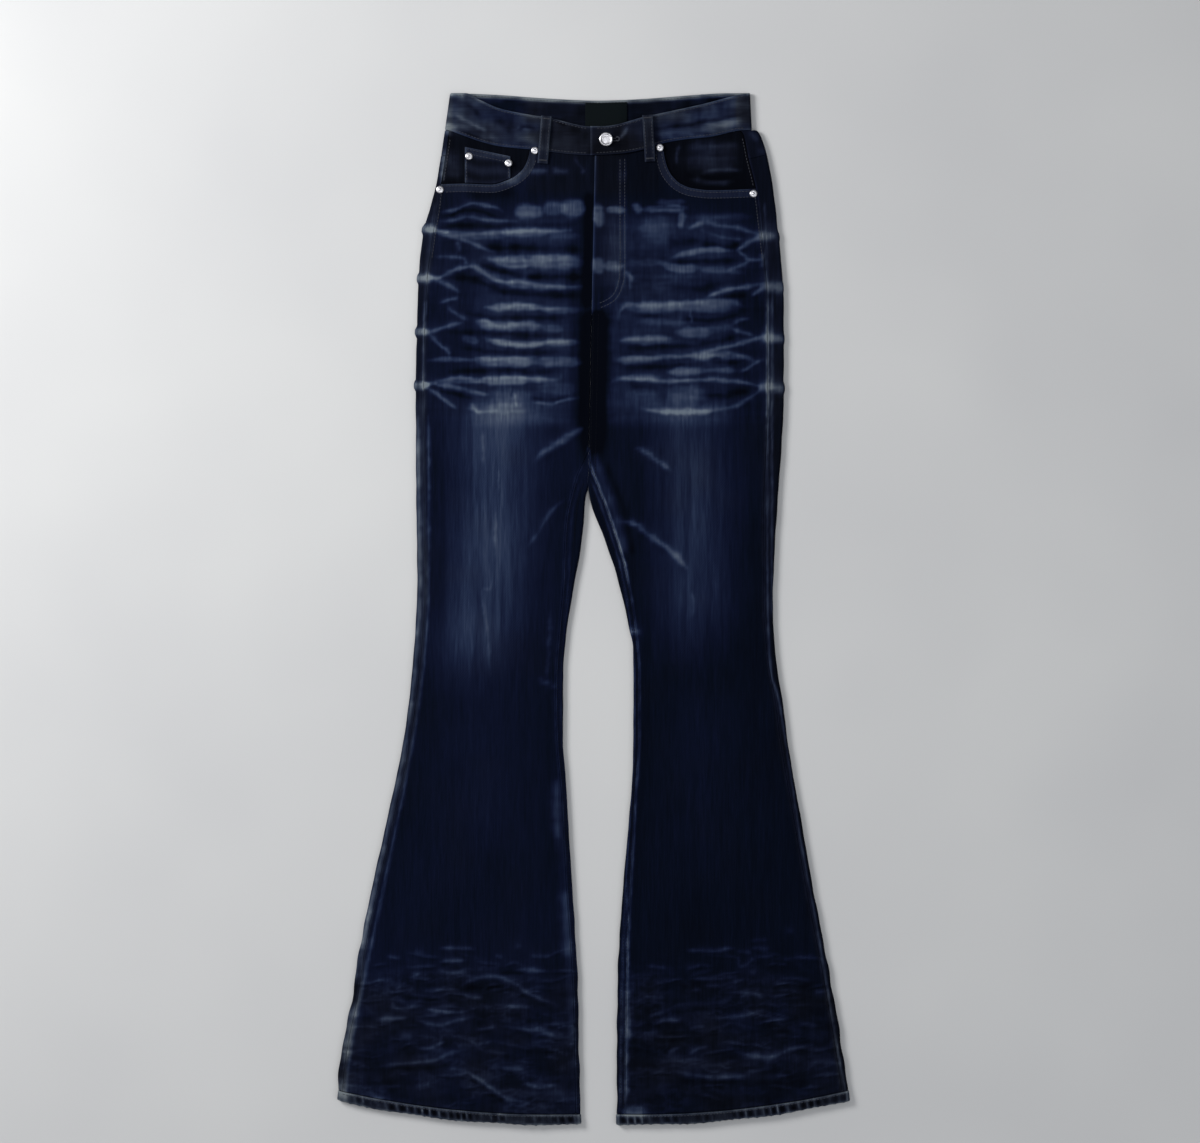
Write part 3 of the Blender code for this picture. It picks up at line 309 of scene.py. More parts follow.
# whiskers: worn crests; the rows below 0 lie under or beside crests and are painted shade in their troughs
WHISKERS = [
    (8, 0.3, -189, 419, -172, 419),
    (8, 0.3, -195, 365, -177, 364),
    (6.5, 0.26, -198, 306, -181, 306),
    (7, 0.28, -198, 246, -180, 248),
    (3, 0.3, -167, 437, -152, 440, -134, 447, -112, 443, -100, 438),
    (3.5, -0.14, -167, 432, -139, 439, -125, 438, -108, 432, -89, 428),
    (3, 0.26, -169, 427, -156, 428, -139, 432, -125, 430, -105, 428, -83, 428),
    (5, -0.16, -169, 420, -149, 422, -112, 421, -83, 422, -20, 424),
    (3.4, 0.42, -177, 417, -149, 413, -112, 414, -83, 416, -68, 418, -50, 416, -25, 417),
    (3.4, 0.28, -87, 416, -59, 417),
    (3.2, 0.36, -173, 415, -152, 409, -138, 405, -125, 399, -112, 393),
    (2.6, 0.26, -150, 404, -146, 394),
    (9, -0.24, -122, 400, -97, 398, -59, 398),
    (8, -0.14, -59, 397, -13, 396),
    (2.8, 0.28, -174, 388, -161, 388, -141, 387),
    (2.2, 0.25, -142, 387, -140, 380),
    (3, 0.18, -122, 387, -103, 384, -86, 388, -12, 389),
    (5, -0.2, -127, 381, -108, 374, -83, 367, -59, 365),
    (7, -0.2, -70, 366, -12, 366),
    (3.6, 0.42, -175, 364, -167, 366, -152, 374, -134, 377, -123, 372, -112, 365, -97, 360, -83, 361,
     -68, 358, -46, 355, -12, 355),
    (3.8, 0.42, -178, 364, -161, 358, -149, 350),
    (7, -0.17, -161, 367, -130, 363, -114, 355, -83, 348, -12, 345),
    (2.8, 0.25, -169, 338, -149, 343),
    (3.2, 0.32, -119, 333, -103, 330, -86, 334, -57, 331, -28, 331),
    (3, 0.3, -161, 333, -149, 324, -138, 319),
    (5, -0.18, -139, 326, -114, 321, -86, 321, -29, 320),
    (3, 0.25, -130, 318, -119, 317, -105, 311, -83, 312, -57, 314),
    (3.6, 0.42, -180, 305, -161, 311, -145, 316),
    (3, 0.42, -180, 302, -171, 294, -160, 283, -158, 277),
    (5, -0.15, -158, 305, -125, 304, -59, 301, -37, 301),
    (3.4, 0.42, -119, 299, -106, 295, -90, 292, -75, 290, -61, 292, -48, 295, -20, 295),
    (6, -0.16, -144, 288, -103, 283, -34, 283),
    (3, 0.28, -130, 277, -103, 276, -61, 278),
    (2.6, 0.15, -61, 276, -12, 276),
    (6, -0.16, -158, 262, -92, 263, -70, 261, -35, 262),
    (3.2, 0.4, -180, 250, -169, 253, -144, 255, -127, 251, -106, 255, -67, 254, -39, 253),
    (2.8, 0.3, -175, 248, -156, 245, -138, 241, -116, 237),
    (3, -0.14, -169, 240, -152, 237, -130, 231),
    (3, 0.42, -182, 244, -167, 233, -151, 221),
    (1.6, -0.2, -89, 246, -90, 233),
    (1.8, 0.3, -86, 237, -86, 223),
    (2, 0.24, -68, 228, -46, 226, -29, 231, -15, 233),
    (3, -0.16, -68, 233, -46, 230, -29, 235),
    (3, 0.26, -136, 227, -125, 215),
    (2.6, 0.2, -140, 223, -125, 218, -103, 219),
    (7, 0.68, 183, 411, 199, 411),
    (7, 0.64, 184, 356, 208, 354),
    (7, 0.68, 186, 299, 208, 298),
    (6.5, 0.8, 184, 245, 209, 243),
    (3.6, 0.44, 106, 419, 123, 426, 140, 422, 158, 420, 178, 415),
    (2.8, 0.18, 114, 419, 140, 410, 167, 407),
    (4, 0.46, 186, 411, 171, 404, 159, 396),
    (3, 0.34, 159, 395, 173, 385, 186, 385),
    (2.6, 0.3, 186, 393, 186, 376),
    (3, 0.3, 173, 384, 159, 377, 148, 373),
    (5, -0.17, 83, 381, 117, 383, 158, 384),
    (6, -0.16, 117, 404, 145, 399, 163, 402),
    (7, -0.14, 84, 402, 117, 406),
    (3, 0.34, 35, 373, 41, 364, 41, 353),
    (10, -0.15, 82, 355, 117, 354, 145, 359),
    (6, -0.15, 141, 344, 167, 346),
    (3.4, 0.44, 123, 343, 140, 350, 162, 354, 186, 358),
    (2.8, 0.34, 175, 346, 186, 353),
    (4, 0.34, 28, 318, 30, 329, 39, 336, 57, 334, 106, 336),
    (4, 0.28, 106, 337, 134, 340, 156, 338, 166, 333),
    (5, -0.18, 43, 324, 79, 321, 127, 318, 158, 324),
    (1.6, 0.25, 107, 331, 108, 314),
    (3, 0.3, 153, 315, 162, 319, 171, 320),
    (3.4, 0.42, 189, 300, 171, 296, 158, 292, 140, 287, 123, 283),
    (3, 0.42, 175, 302, 153, 308),
    (6, -0.16, 156, 300, 139, 295, 117, 292),
    (5, -0.15, 37, 287, 79, 289, 117, 290),
    (3.4, 0.42, 30, 296, 50, 298, 74, 298, 87, 298),
    (3.2, 0.36, 23, 276, 57, 276, 87, 278, 109, 279, 123, 278, 145, 282, 158, 280, 178, 274, 186, 275),
    (3.4, 0.28, 118, 282, 131, 280),
    (5, -0.15, 35, 265, 68, 267, 106, 270),
    (4, -0.14, 135, 272, 161, 271),
    (3, 0.36, 162, 263, 171, 267, 183, 274),
    (3, 0.46, 21, 252, 43, 254, 79, 251, 109, 252, 140, 252, 162, 250, 186, 245),
    (4, -0.13, 40, 245, 73, 244),
    (5, -0.15, 117, 235, 156, 234),
    (3.4, 0.33, 186, 244, 171, 232, 153, 223, 134, 219, 114, 217, 90, 216, 65, 219, 50, 221),
    (6, -0.13, 148, 238, 169, 240),
]
LEG_MARKS = [
    (5.4, 0.48, -9, 202, -30, 189, -50, 176, -63, 166),
    (3.2, 0.2, -32, 121, -48, 106, -59, 88, -72, 70),
    (4.4, 0.36, 48, 178, 63, 169, 85, 153),
    (5, 0.46, 30, 96, 43, 95, 63, 81, 83, 66, 103, 46),
    (1.6, 0.16, -122, 196, -122, 158),
    (1.6, 0.16, -104, 154, -104, 128),
    (1.7, 0.18, -108, 112, -108, 55),
    (1.9, 0.14, -111, 40, -113, 24, -122, 20, -120, -2, -116, -33, -114, -73),
    (1.6, 0.16, 109, 20, 109, -9),
    (3.2, 0.26, -61, -77, -41, -85),
    (4.5, 0.45, 37, -23, 50, -24),
    (3.4, 0.16, -47, -2, -49, -44, -51, -75),
    (9, 0.36, -245, -319, -257, -374, -266, -413),
    (10, 0.46, -263, -435, -270, -473, -273, -495),
    (9, 0.5, -282, -522, -271, -539),
    (2, 0.28, 37, -297, 38, -411),
    (4, 0.42, 37, -411, 39, -479),
    (2.4, 0.36, 37, -479, 37, -539),
    (9, 0.45, 38, -554, 53, -554),
]
# creases round the legs' ends: worn crests, and rows below 0 under them as painted shade in their troughs
HEM_CREASES = [
    (2.6, 0.3, -169, -373, -131, -373),
    (2.4, 0.26, -226, -382, -213, -384),
    (5, 0.16, -196, -375, -185, -382),
    (2.6, 0.34, -169, -386, -141, -386),
    (3, -0.14, -169, -391, -145, -391),
    (2.8, 0.28, -170, -397, -156, -400, -136, -398),
    (2.6, 0.28, -108, -381, -101, -383),
    (5, 0.24, -84, -369, -82, -370),
    (2.6, 0.3, -68, -381, -48, -382),
    (3, 0.4, -86, -396, -64, -397, -51, -398),
    (3, -0.14, -104, -400, -75, -399),
    (3.4, 0.26, -200, -400, -193, -402),
    (2.4, 0.18, -239, -408, -222, -408),
    (2.4, 0.2, -248, -418, -235, -419),
    (3.2, 0.3, -147, -414, -130, -406, -114, -403, -92, -409, -75, -420, -57, -429, -39, -435),
    (4, -0.15, -145, -418, -119, -414, -92, -418, -68, -428),
    (2.4, 0.2, -189, -419, -150, -418),
    (3, 0.36, -141, -425, -123, -427),
    (4, -0.14, -216, -427, -180, -429, -147, -430),
    (2.8, 0.3, -222, -432, -214, -439, -189, -436),
    (2.6, 0.36, -185, -440, -169, -442, -153, -444),
    (2.4, 0.26, -169, -435, -152, -436),
    (2.6, 0.32, -95, -437, -69, -437),
    (3, 0.38, -239, -451, -218, -450, -205, -449),
    (3, 0.38, -194, -452, -169, -457, -150, -452, -134, -449),
    (2.8, 0.36, -130, -462, -117, -461, -108, -458),
    (3, 0.34, -97, -457, -75, -462, -57, -464, -40, -470),
    (5, 0.22, -211, -469, -201, -469),
    (2.4, 0.3, -173, -479, -164, -476),
    (2.8, 0.26, -190, -484, -174, -481),
    (3, 0.28, -235, -502, -202, -499, -174, -496, -158, -488, -141, -484),
    (4, -0.12, -213, -506, -171, -503, -152, -495),
    (2.4, 0.18, -150, -468, -136, -475, -114, -490),
    (2.4, 0.18, -108, -475, -92, -479, -64, -483),
    (2.4, 0.26, -53, -492, -37, -495),
    (5, 0.26, -158, -505, -140, -506),
    (2.8, 0.34, -114, -503, -75, -506),
    (3.2, 0.32, -139, -508, -125, -518, -108, -529, -92, -539, -73, -543),
    (4, -0.14, -136, -517, -119, -528, -97, -543),
    (3, 0.38, -75, -521, -62, -525, -40, -524),
    (4.5, 0.2, -194, -526, -180, -522),
    (10, 0.12, -53, -530, -30, -536),
    (2.8, 0.27, 103, -375, 136, -375, 147, -373, 156, -373),
    (2.4, 0.19, 158, -376, 174, -378),
    (2.6, 0.22, 174, -373, 194, -373),
    (2.4, 0.18, 178, -382, 200, -381),
    (2.6, 0.25, 205, -385, 227, -383, 251, -384),
    (2.4, 0.18, 59, -392, 81, -395),
    (2.6, 0.22, 103, -394, 117, -391),
    (2.4, 0.22, 158, -383, 162, -392, 174, -387, 172, -381),
    (2.4, 0.19, 108, -402, 130, -396),
    (2.8, 0.25, 106, -406, 134, -406, 158, -404),
    (2.6, 0.24, 123, -414, 139, -414),
    (2.6, 0.22, 107, -419, 117, -418),
    (2.8, 0.21, 53, -424, 64, -426, 81, -428),
    (3, 0.3, 161, -425, 178, -424, 189, -427),
    (4, 0.19, 173, -399, 178, -400),
    (2.4, 0.18, 205, -405, 222, -406, 238, -409),
    (2.4, 0.21, 244, -420, 256, -421),
    (4, 0.15, 81, -440, 95, -435, 136, -433, 156, -424),
    (4, -0.1, 86, -443, 117, -440, 141, -438),
    (3.2, 0.28, 130, -450, 147, -448, 167, -446, 189, -440),
    (2.4, 0.18, 189, -447, 196, -447),
    (2.8, 0.25, 68, -455, 81, -452, 95, -451),
    (2.6, 0.19, 62, -447, 79, -442),
    (2.6, 0.19, 106, -462, 123, -458),
    (5, 0.15, 60, -468, 70, -464),
    (3, -0.12, 202, -464, 216, -464),
    (2.4, 0.18, 227, -455, 246, -457),
    (3, 0.28, 83, -488, 95, -481),
    (3, 0.3, 106, -490, 114, -484, 125, -481),
    (3.2, 0.3, 156, -487, 178, -491, 196, -492, 216, -484, 240, -479),
    (9, 0.13, 167, -493, 208, -492),
    (3, 0.19, 84, -495, 106, -499, 134, -501, 158, -496),
    (3.5, -0.11, 53, -503, 81, -502),
    (3.4, 0.34, 86, -508, 117, -513, 134, -515, 161, -514, 172, -512),
    (4, -0.1, 90, -516, 128, -521, 167, -519),
    (2.8, 0.22, 169, -509, 183, -506, 200, -503),
    (2.6, 0.16, 200, -513, 213, -513),
    (6, 0.12, 240, -496, 268, -497),
    (4, 0.18, 263, -475, 265, -480),
    (2.4, 0.13, 172, -365, 191, -363),
    (4, 0.13, 214, -353, 219, -354),
]
NODES = [  # where the side creases meet: pale, square-cut patches over the side fold
    (9.4, 0.33, -191, 419.5, -177, 419),
    (3.4, 0.3, -184, 418, -160, 415.5),
    (10, 0.31, -196, 365, -181, 364.5),
    (3.2, 0.3, -188, 364.5, -168, 365),
    (7, 0.36, -198, 305.5, -183, 305),
    (6.6, 0.36, -198, 247, -184, 246.5),
    (3, 0.24, -188, 246.5, -172, 249),
]
SEAM_LINES = [
    (2.6, 0.36, -181.6, 213, -181.6, 121, -182, 11, -184.5, -33, -189, -77, -198, -140, -210, -204,
     -224, -271, -238, -339, -246.5, -378, -266, -473, -274, -541),
    (2, 0.4, 191.4, 352, 191.4, 180, 191.6, 11, 195.3, -66, 203.6, -99, 214, -160, 227, -249, 246, -350,
     268, -480, 280, -545),
    (2, 0.4, 196.4, 352, 196.4, 180, 196.4, 60, 196.6, -10),
    (1.6, 0.24, 188, 448, 190, 412, 191, 356),
    (2, 0.15, -174, 448, -179.6, 412, -184, 366, -185.6, 340),
    (2, 0.34, -185.6, 340, -186.6, 305, -188, 240),
    (9, 0.24, 1, 172, 9, 143, 19.5, 116, 26.5, 93, 34, 64),
    (2.4, 0.42, -6, 182, -2.6, 157, 5.5, 136, 15.5, 110, 26.4, 77, 34.7, 48, 39, 27),
    # painted shade beside the left inseam's ridge
    (6, -0.07, 13, 160, 22, 140, 32, 114, 38, 90, 43, 62),
    (9, 0.24, -41, -190, -41, -218, -39, -250),
    (7, 0.1, -38, -240, -35, -300, -33, -326),
    (10, 0.26, -33, -314, -31, -345, -29, -378),
    (7, 0.14, -28, -372, -26, -420, -24, -480),
]
WAIST_MARKS = [
    (4.4, 0.5, -161, 534, -159, 523),
    (3, 0.5, -165, 506, -167, 468),
    (7, 0.22, -99, 470, -87, 474, -79, 482),
    (5, 0.35, -157, 566, -144, 566),
    (5, 0.25, -156, 561, -158, 539),
    (7, 0.42, -162, 531, -151, 529),
    (3.4, -0.22, -147, 527, -127, 519, -100, 514),
    (3.6, 0.28, -153, 546, -134, 535, -116, 525),
    (6, 0.16, -125, 520, -103, 516),
    (4, -0.16, -138, 557, -129, 548, -125, 541),
    (8, -0.12, -105, 539, -90, 524),
    (3, 0.18, -86, 531, -70, 527),
    (2.6, -0.2, -85, 528, -72, 531, -63, 528),
    (7, 0.14, -83, 518, -65, 517),
    (3, -0.22, -45, 540, -30, 532),
    (5, 0.14, -37, 542, -24, 538),
    (9, -0.14, -24, 530, -6, 521),
    (16, -0.12, 5, 513, 45, 517),
    (3.4, 0.34, 38, 531, 34, 524, 28, 517),
    (9, 0.14, 73, 542, 117, 548, 159, 557),
    (3.2, -0.26, 68, 528, 119, 536, 170, 546),
    (8, 0.24, 73, 522, 106, 527, 163, 537),
    (5, 0.2, 104, 526, 108, 521),
    (8, 0.2, 141, 532, 161, 537),
    (6, 0.3, -70, 482, -51, 483),
    (6, 0.3, -43, 483, -28, 482),
    (3, 0.24, -21, 497, -10, 480),
    (12, -0.1, -136, 455, -86, 459),
    (22, 0.22, 104, 497, 156, 497),
    (8, 0.18, 104, 510, 159, 510),
    (3, 0.34, 119, 480, 139, 484, 163, 483),
    (4.6, 0.3, 108, 475, 128, 470, 152, 470),
    (5, -0.14, 100, 480, 117, 474, 150, 475),
    (2.4, 0.3, 94, 512, 91, 490),
    (12, 0.2, -158, 500, -153, 480),
    (5, 0.18, 183, 504, 190, 503),
    (3, 0.16, 201, 475, 210, 473),
    (5, 0.16, 172, 526, 179, 517),
]

THIGH_FADE_RIGHT = [("y", "x"), (236, -100), (143, -109), (55, -117), (-33, -128), (-92, -132)]
THIGH_FADE_LEFT = [("y", "x"), (236, 104), (143, 109), (55, 112), (-11, 110), (-74, 104)]
J_STITCH = [(29.2, 497), (29.2, 430), (29.2, 376), (27, 358), (21.5, 346), (13.5, 340), (4.2, 336)]

# the raster that creases, fades and painted shade are painted on, in garment millimetres
FIELD_X = (-300.0, 300.0)
FIELD_Y = (-585.0, 585.0)

# cloth detail
CREASE_HEIGHT = 1.15  # of a stroke whose light is 1
HEM_CREASE_HEIGHT = 2.4
THREAD = 0.34  # radius of the sewing thread
STITCH = 2.7
STITCH_GAP = 0.9
HEM_PROUD = 0.5


def rows_of(table):
    """The table's rows as dictionaries of its named columns."""
    names, *rows = table
    return [dict(zip(names, row)) for row in rows]


class Curve:
    """A smooth curve without overshoot through a table of two columns."""

    def __init__(self, table):
        points = np.array(sorted(table[1:]), float)
        self.at = points[:, 0]
        self.value = points[:, 1]
        step = np.diff(self.at)
        slope = np.diff(self.value) / step
        inner = np.where(slope[:-1] * slope[1:] > 0, 2 * slope[:-1] * slope[1:], 0.0)
        total = slope[:-1] + slope[1:]
        inner = np.divide(inner, total, out=np.zeros_like(inner), where=inner != 0)
        self.tangent = np.concatenate([slope[:1], inner, slope[-1:]])

    def __call__(self, place):
        place = np.clip(np.asarray(place, float), self.at[0], self.at[-1])
        i = np.clip(np.searchsorted(self.at, place) - 1, 0, len(self.at) - 2)
        step = self.at[i + 1] - self.at[i]
        t = (place - self.at[i]) / step
        start = (1 + 2 * t) * (1 - t) ** 2 * self.value[i] + t * (1 - t) ** 2 * step * self.tangent[i]
        end = t * t * (3 - 2 * t) * self.value[i + 1] + t * t * (t - 1) * step * self.tangent[i + 1]
        return start + end


def smooth(t):
    t = np.clip(t, 0.0, 1.0)
    return t * t * (3 - 2 * t)


def between(a, b, t):
    return a + (b - a) * t


def spaced(*stretches):
    """Shares from 0 to 1 along stretches, each given as its length and the spacing of its points."""
    places = [0.0]
    for length, step in stretches:
        count = max(1, round(length / step))
        start = places[-1]
        places += [start + length * (i + 1) / count for i in range(count)]
    return np.array(places) / places[-1]


# fields: what is painted on the cloth


class Field:
    """A quantity over the garment seen from above, on a raster of one millimetre."""

    def __init__(self, value=0.0):
        shape = (int(FIELD_Y[1] - FIELD_Y[0]) + 1, int(FIELD_X[1] - FIELD_X[0]) + 1)
        self.value = np.full(shape, float(value))

    @staticmethod
    def axes():
        y, x = np.mgrid[FIELD_Y[0] : FIELD_Y[1] + 1, FIELD_X[0] : FIELD_X[1] + 1]
        return x, y

    def at(self, x, y):
        """The value at places between the raster's points."""
        height, width = self.value.shape
        across = np.clip(np.asarray(x, float) - FIELD_X[0], 0, width - 1.001)
        up = np.clip(np.asarray(y, float) - FIELD_Y[0], 0, height - 1.001)
        i, j = across.astype(int), up.astype(int)
        s, t = across - i, up - j
        low = between(self.value[j, i], self.value[j, i + 1], s)
        high = between(self.value[j + 1, i], self.value[j + 1, i + 1], s)
        return between(low, high, t)

    def stroke(self, points, width, amount, seed=0, taper=0.16, ragged=0.3, hard=1):
        """A soft stroke through points, thinner and fainter at its ends and uneven along its length.

        hard above 1 gives it a flatter middle with steeper edges.
        """
        path = rounded_path(points, 1.0)
        count = len(path)
        rng = np.random.default_rng(seed)
        knots = np.arange(0, count + 12, 6)
        uneven = np.interp(np.arange(count), knots, rng.uniform(-1, 1, len(knots)))
        share = np.linspace(0, 1, count)
        ends = smooth(share / taper) * smooth((1 - share) / taper) if taper else np.ones(count)
        reach = int(width * 2.6) + 2
        low = np.floor(path.min(0)).astype(int) - reach
        high = np.ceil(path.max(0)).astype(int) + reach
        low = np.maximum(low, [FIELD_X[0], FIELD_Y[0]]).astype(int)
        high = np.minimum(high, [FIELD_X[1], FIELD_Y[1]]).astype(int)
        patch = np.zeros((high[1] - low[1] + 1, high[0] - low[0] + 1))
        for (px, py), end, turn in zip(path, ends, uneven):
            x0, x1 = max(low[0], int(px) - reach), min(high[0], int(px) + reach)
            y0, y1 = max(low[1], int(py) - reach), min(high[1], int(py) + reach)
            if x0 > x1 or y0 > y1:
                continue
            y, x = np.ogrid[y0 : y1 + 1, x0 : x1 + 1]
            wide = 0.5 * width * (0.55 + 0.45 * end) * (1 + ragged * turn) + 0.35
            away = ((x - px) ** 2 + (y - py) ** 2) / wide**2
            blob = (0.3 + 0.7 * end) * (1 + ragged * turn) * np.exp(-(away**hard))
            part = patch[y0 - low[1] : y1 + 1 - low[1], x0 - low[0] : x1 + 1 - low[0]]
            np.maximum(part, blob, out=part)
        j, i = low[1] - int(FIELD_Y[0]), low[0] - int(FIELD_X[0])
        self.value[j : j + patch.shape[0], i : i + patch.shape[1]] += amount * patch

    def roughened(self, seed, reach):
        """The values pushed about by up to a reach, so that no edge runs clean."""
        x, y = self.axes()
        aside = noise(seed, 9.0, 5.0) + 0.7 * noise(seed + 1, 3.5, 2.5)
        up = noise(seed + 2, 12.0, 6.0) + 0.6 * noise(seed + 3, 4.0, 3.0)
        return self.at(x + 1.4 * reach * aside, y + reach * up)


def rounded_path(points, step):
    """Points at a step along a smooth line through the given ones."""
    p = np.array(points, float)
    if len(p) > 2:
        ends = np.vstack([2 * p[0] - p[1], p, 2 * p[-1] - p[-2]])
        pieces = []
        for a, b, c, d in zip(ends, ends[1:], ends[2:], ends[3:]):
            t = np.linspace(0, 1, 12)[:-1, None]
            pieces.append(
                0.5
                * (2 * b + (c - a) * t + (2 * a - 5 * b + 4 * c - d) * t**2 + (3 * b - a - 3 * c + d) * t**3)
            )
        p = np.vstack([*pieces, p[-1:]])
    return resampled(p, step)


def resampled(path, step):
    run = np.concatenate([[0.0], np.cumsum(np.hypot(*np.diff(path, axis=0).T))])
    count = max(2, int(round(run[-1] / step)) + 1)
    at = np.linspace(0, run[-1], count)
    return np.column_stack([np.interp(at, run, path[:, 0]), np.interp(at, run, path[:, 1])])


def offset_path(path, shift):
    """A path moved sideways, to its left where shift is positive."""
    along = np.gradient(path, axis=0)
    along /= np.maximum(np.linalg.norm(along, axis=1, keepdims=True), 1e-9)
    return path + shift * np.column_stack([-along[:, 1], along[:, 0]])


def veins(seed, span_x, span_y, sharp):
    """Wandering lines: 1 on them, fading faster beside them the sharper they are."""
    field = Field()
    field.value = noise(seed, span_x, span_y) + 0.5 * noise(seed + 50, span_x * 0.43, span_y * 0.61)
    return np.exp(-sharp * np.abs(field.roughened(seed + 1, 2.6)))


def noise(seed, span_x, span_y):
    """Smooth noise from -1 to 1 over the raster, with blobs of the given size."""
    rng = np.random.default_rng(seed)
    x, y = Field.axes()
    across, up = (x - FIELD_X[0]) / span_x, (y - FIELD_Y[0]) / span_y
    i, j = across.astype(int), up.astype(int)
    s, t = smooth(across - i), smooth(up - j)
    value = rng.uniform(-1, 1, (j.max() + 2, i.max() + 2))
    low = between(value[j, i], value[j, i + 1], s)
    high = between(value[j + 1, i], value[j + 1, i + 1], s)
    return between(low, high, t)


# the plain form, as in the part


class Side:
    """One leg with its half of the seat. sign is +1 for the wearer's left and -1 for the right."""

    def __init__(self, name, sign, outer, inner, outseam, inseam, rim, creases, tufts, seed):
        self.name = name
        self.sign = sign
        self.outer_curve = Curve(outer)
        self.inner_curve = Curve(inner)
        self.inset = Curve(outseam)
        self.inseam = Curve(inseam)
        self.rim = Curve(rim)
        corners = [row[0] for row in rim[1:]]
        self.corner = min(corners, key=abs)
        self.creases = rows_of(creases)
        self.tufts = tufts
        self.seed = seed

    def waver(self, y, shift):
        """The silhouette's small unevenness, strongest at the hem's creases."""
        low = 1 - smooth((y + 400.0) / 120.0)
        ripple = np.sin(y / 5.3 + shift) + np.sin(y / 8.9 + 2 * shift) + 0.7 * np.sin(y / 17.0 + 3 * shift)
        return (0.12 + 0.3 * low) * ripple

    def outer(self, y):
        """The side silhouette, frayed out a little where the honeycomb creases meet it."""
        frayed = sum(reach * np.exp(-(((y - at) / 5.2) ** 4)) for at, reach in self.tufts)
        return self.outer_curve(y) + self.sign * (self.waver(y, self.seed) + frayed)

    def inner(self, y):
        return self.inner_curve(y) + self.sign * 0.6 * self.waver(y, self.seed + 1.7)

    def outseam(self, y):
        return self.outer_curve(y) - self.sign * self.inset(y)


LEFT = Side(
    "left", 1, OUTER_LEFT, INNER_LEFT, OUTSEAM_LEFT, INSEAM_LEFT, POCKET_RIM_LEFT, CREASES_LEFT,
    ((411.0, 1.2), (355.0, 0.8), (298.0, 1.0), (244.0, 1.6)), 1.0,
)
RIGHT = Side(
    "right", -1, OUTER_RIGHT, INNER_RIGHT, OUTSEAM_RIGHT, INSEAM_RIGHT, POCKET_RIM_RIGHT, CREASES_RIGHT,
    ((419.0, 2.4), (364.5, 2.2), (305.5, 2.6), (246.5, 2.2)), 4.0,
)
SIDES = (LEFT, RIGHT)
front_rim = Curve(FRONT_RIM)
back_rim = Curve(BACK_RIM)
band_seam = Curve(BAND_SEAM)
back_band_seam = Curve(BACK_BAND_SEAM)


def centre_x(y):
    """The centre line down to the crotch; below it nothing meets there."""
    return CENTRE_X + CENTRE_SLOPE * np.maximum(y - CENTRE_Y, 0.0)


def hem_y(x):
    beyond = np.maximum(np.abs(x) - HEM_LOW_X, 0.0)
    return HEM_LOW_Y + HEM_RISE * (beyond / HEM_REACH) ** 2


def yoke_y(x, side):
    reach = abs(side.outer_curve(YOKE_SIDE_Y) - centre_x(YOKE_CENTRE_Y))
    share = side.sign * (x - centre_x(YOKE_CENTRE_Y)) / reach
    return between(YOKE_CENTRE_Y, YOKE_SIDE_Y, np.minimum(share, 1.0))


def stroke(x, y, start, end, width):
    """A soft ridge along a straight stroke: 1 on it, 0 away from it, tapered at its ends."""
    start, end = np.array(start, float), np.array(end, float)
    along = end - start
    length = np.hypot(*along)
    along = along / length
    t = ((x - start[0]) * along[0] + (y - start[1]) * along[1]) / length
    off = (y - start[1]) * along[0] - (x - start[0]) * along[1]
    taper = smooth((t + 0.08) / 0.16) * smooth((1.08 - t) / 0.16)
    return np.exp(-((off / width) ** 2)) * taper


def large_creases(x, y, side):
    """Height of the part's own creases of the front above the plain cloth."""
    height = 0.0
    for c in side.creases:
        side_point = (c["side_x"], c["side_y"])
        mid = (c["mid_x"], c["mid_y"])
        end = (c["end_x"], c["end_y"])
        ridge = np.maximum(
            stroke(x, y, side_point, mid, CREASE_WIDTH), stroke(x, y, mid, end, CREASE_WIDTH)
        )
        height = np.maximum(height, c["raise_"] * ridge)
    for c in rows_of(CROTCH_CREASES):
        ridge = stroke(x, y, (c["from_x"], c["from_y"]), (c["to_x"], c["to_y"]), CREASE_WIDTH)
        height = np.maximum(height, c["raise_"] * ridge)
    inside = smooth((y - VALLEY["low"]) / VALLEY["fade"]) * smooth((VALLEY["high"] - y) / VALLEY["fade"])
    valley = VALLEY["depth"] * np.exp(-(((x - centre_x(y)) / VALLEY["width"]) ** 2)) * inside
    return height - valley


def fly_raise(x, y):
    """The left front rises where it lies over the right one."""
    across = 1 - smooth((x - centre_x(y)) / FLY_WIDTH)
    return FLY_RAISE * across * smooth((y - FLY_END + 22.0) / 22.0)


def pocket_top_y(x, side):
    """Upper edge of the front panel: the waistband's seam, and the pocket's mouth beside it."""
    past = side.sign * (x - side.corner)
    seam = band_seam(x) - SEAM_GAP
    return np.where(past > 0, np.minimum(seam, side.rim(x)), seam)


def front_inner_x(y, side):
    """Inner edge of a front panel: the centre line, and below the crotch the inseam."""
    centre = centre_x(y) + side.sign * SEAM_GAP / 2
    if side.sign < 0:
        centre = centre + FLY_SHIELD * smooth((y - FLY_END - 6.0) / 16.0)
    seam = side.inseam(y) + side.sign * SEAM_GAP / 2
    return np.maximum(centre, seam) if side.sign > 0 else np.minimum(centre, seam)


def box_lift(x, y, centre, half_width, low, high):
    """1 over a box on the floor and a margin round it, falling to 0 outside."""
    past_x = np.maximum(np.abs(x - centre) - half_width - LIFT_MARGIN, 0.0)
    past_y = np.maximum(np.maximum(low - y, y - high) - LIFT_MARGIN, 0.0)
    return smooth(1 - np.hypot(past_x, past_y) / LIFT_FADE)


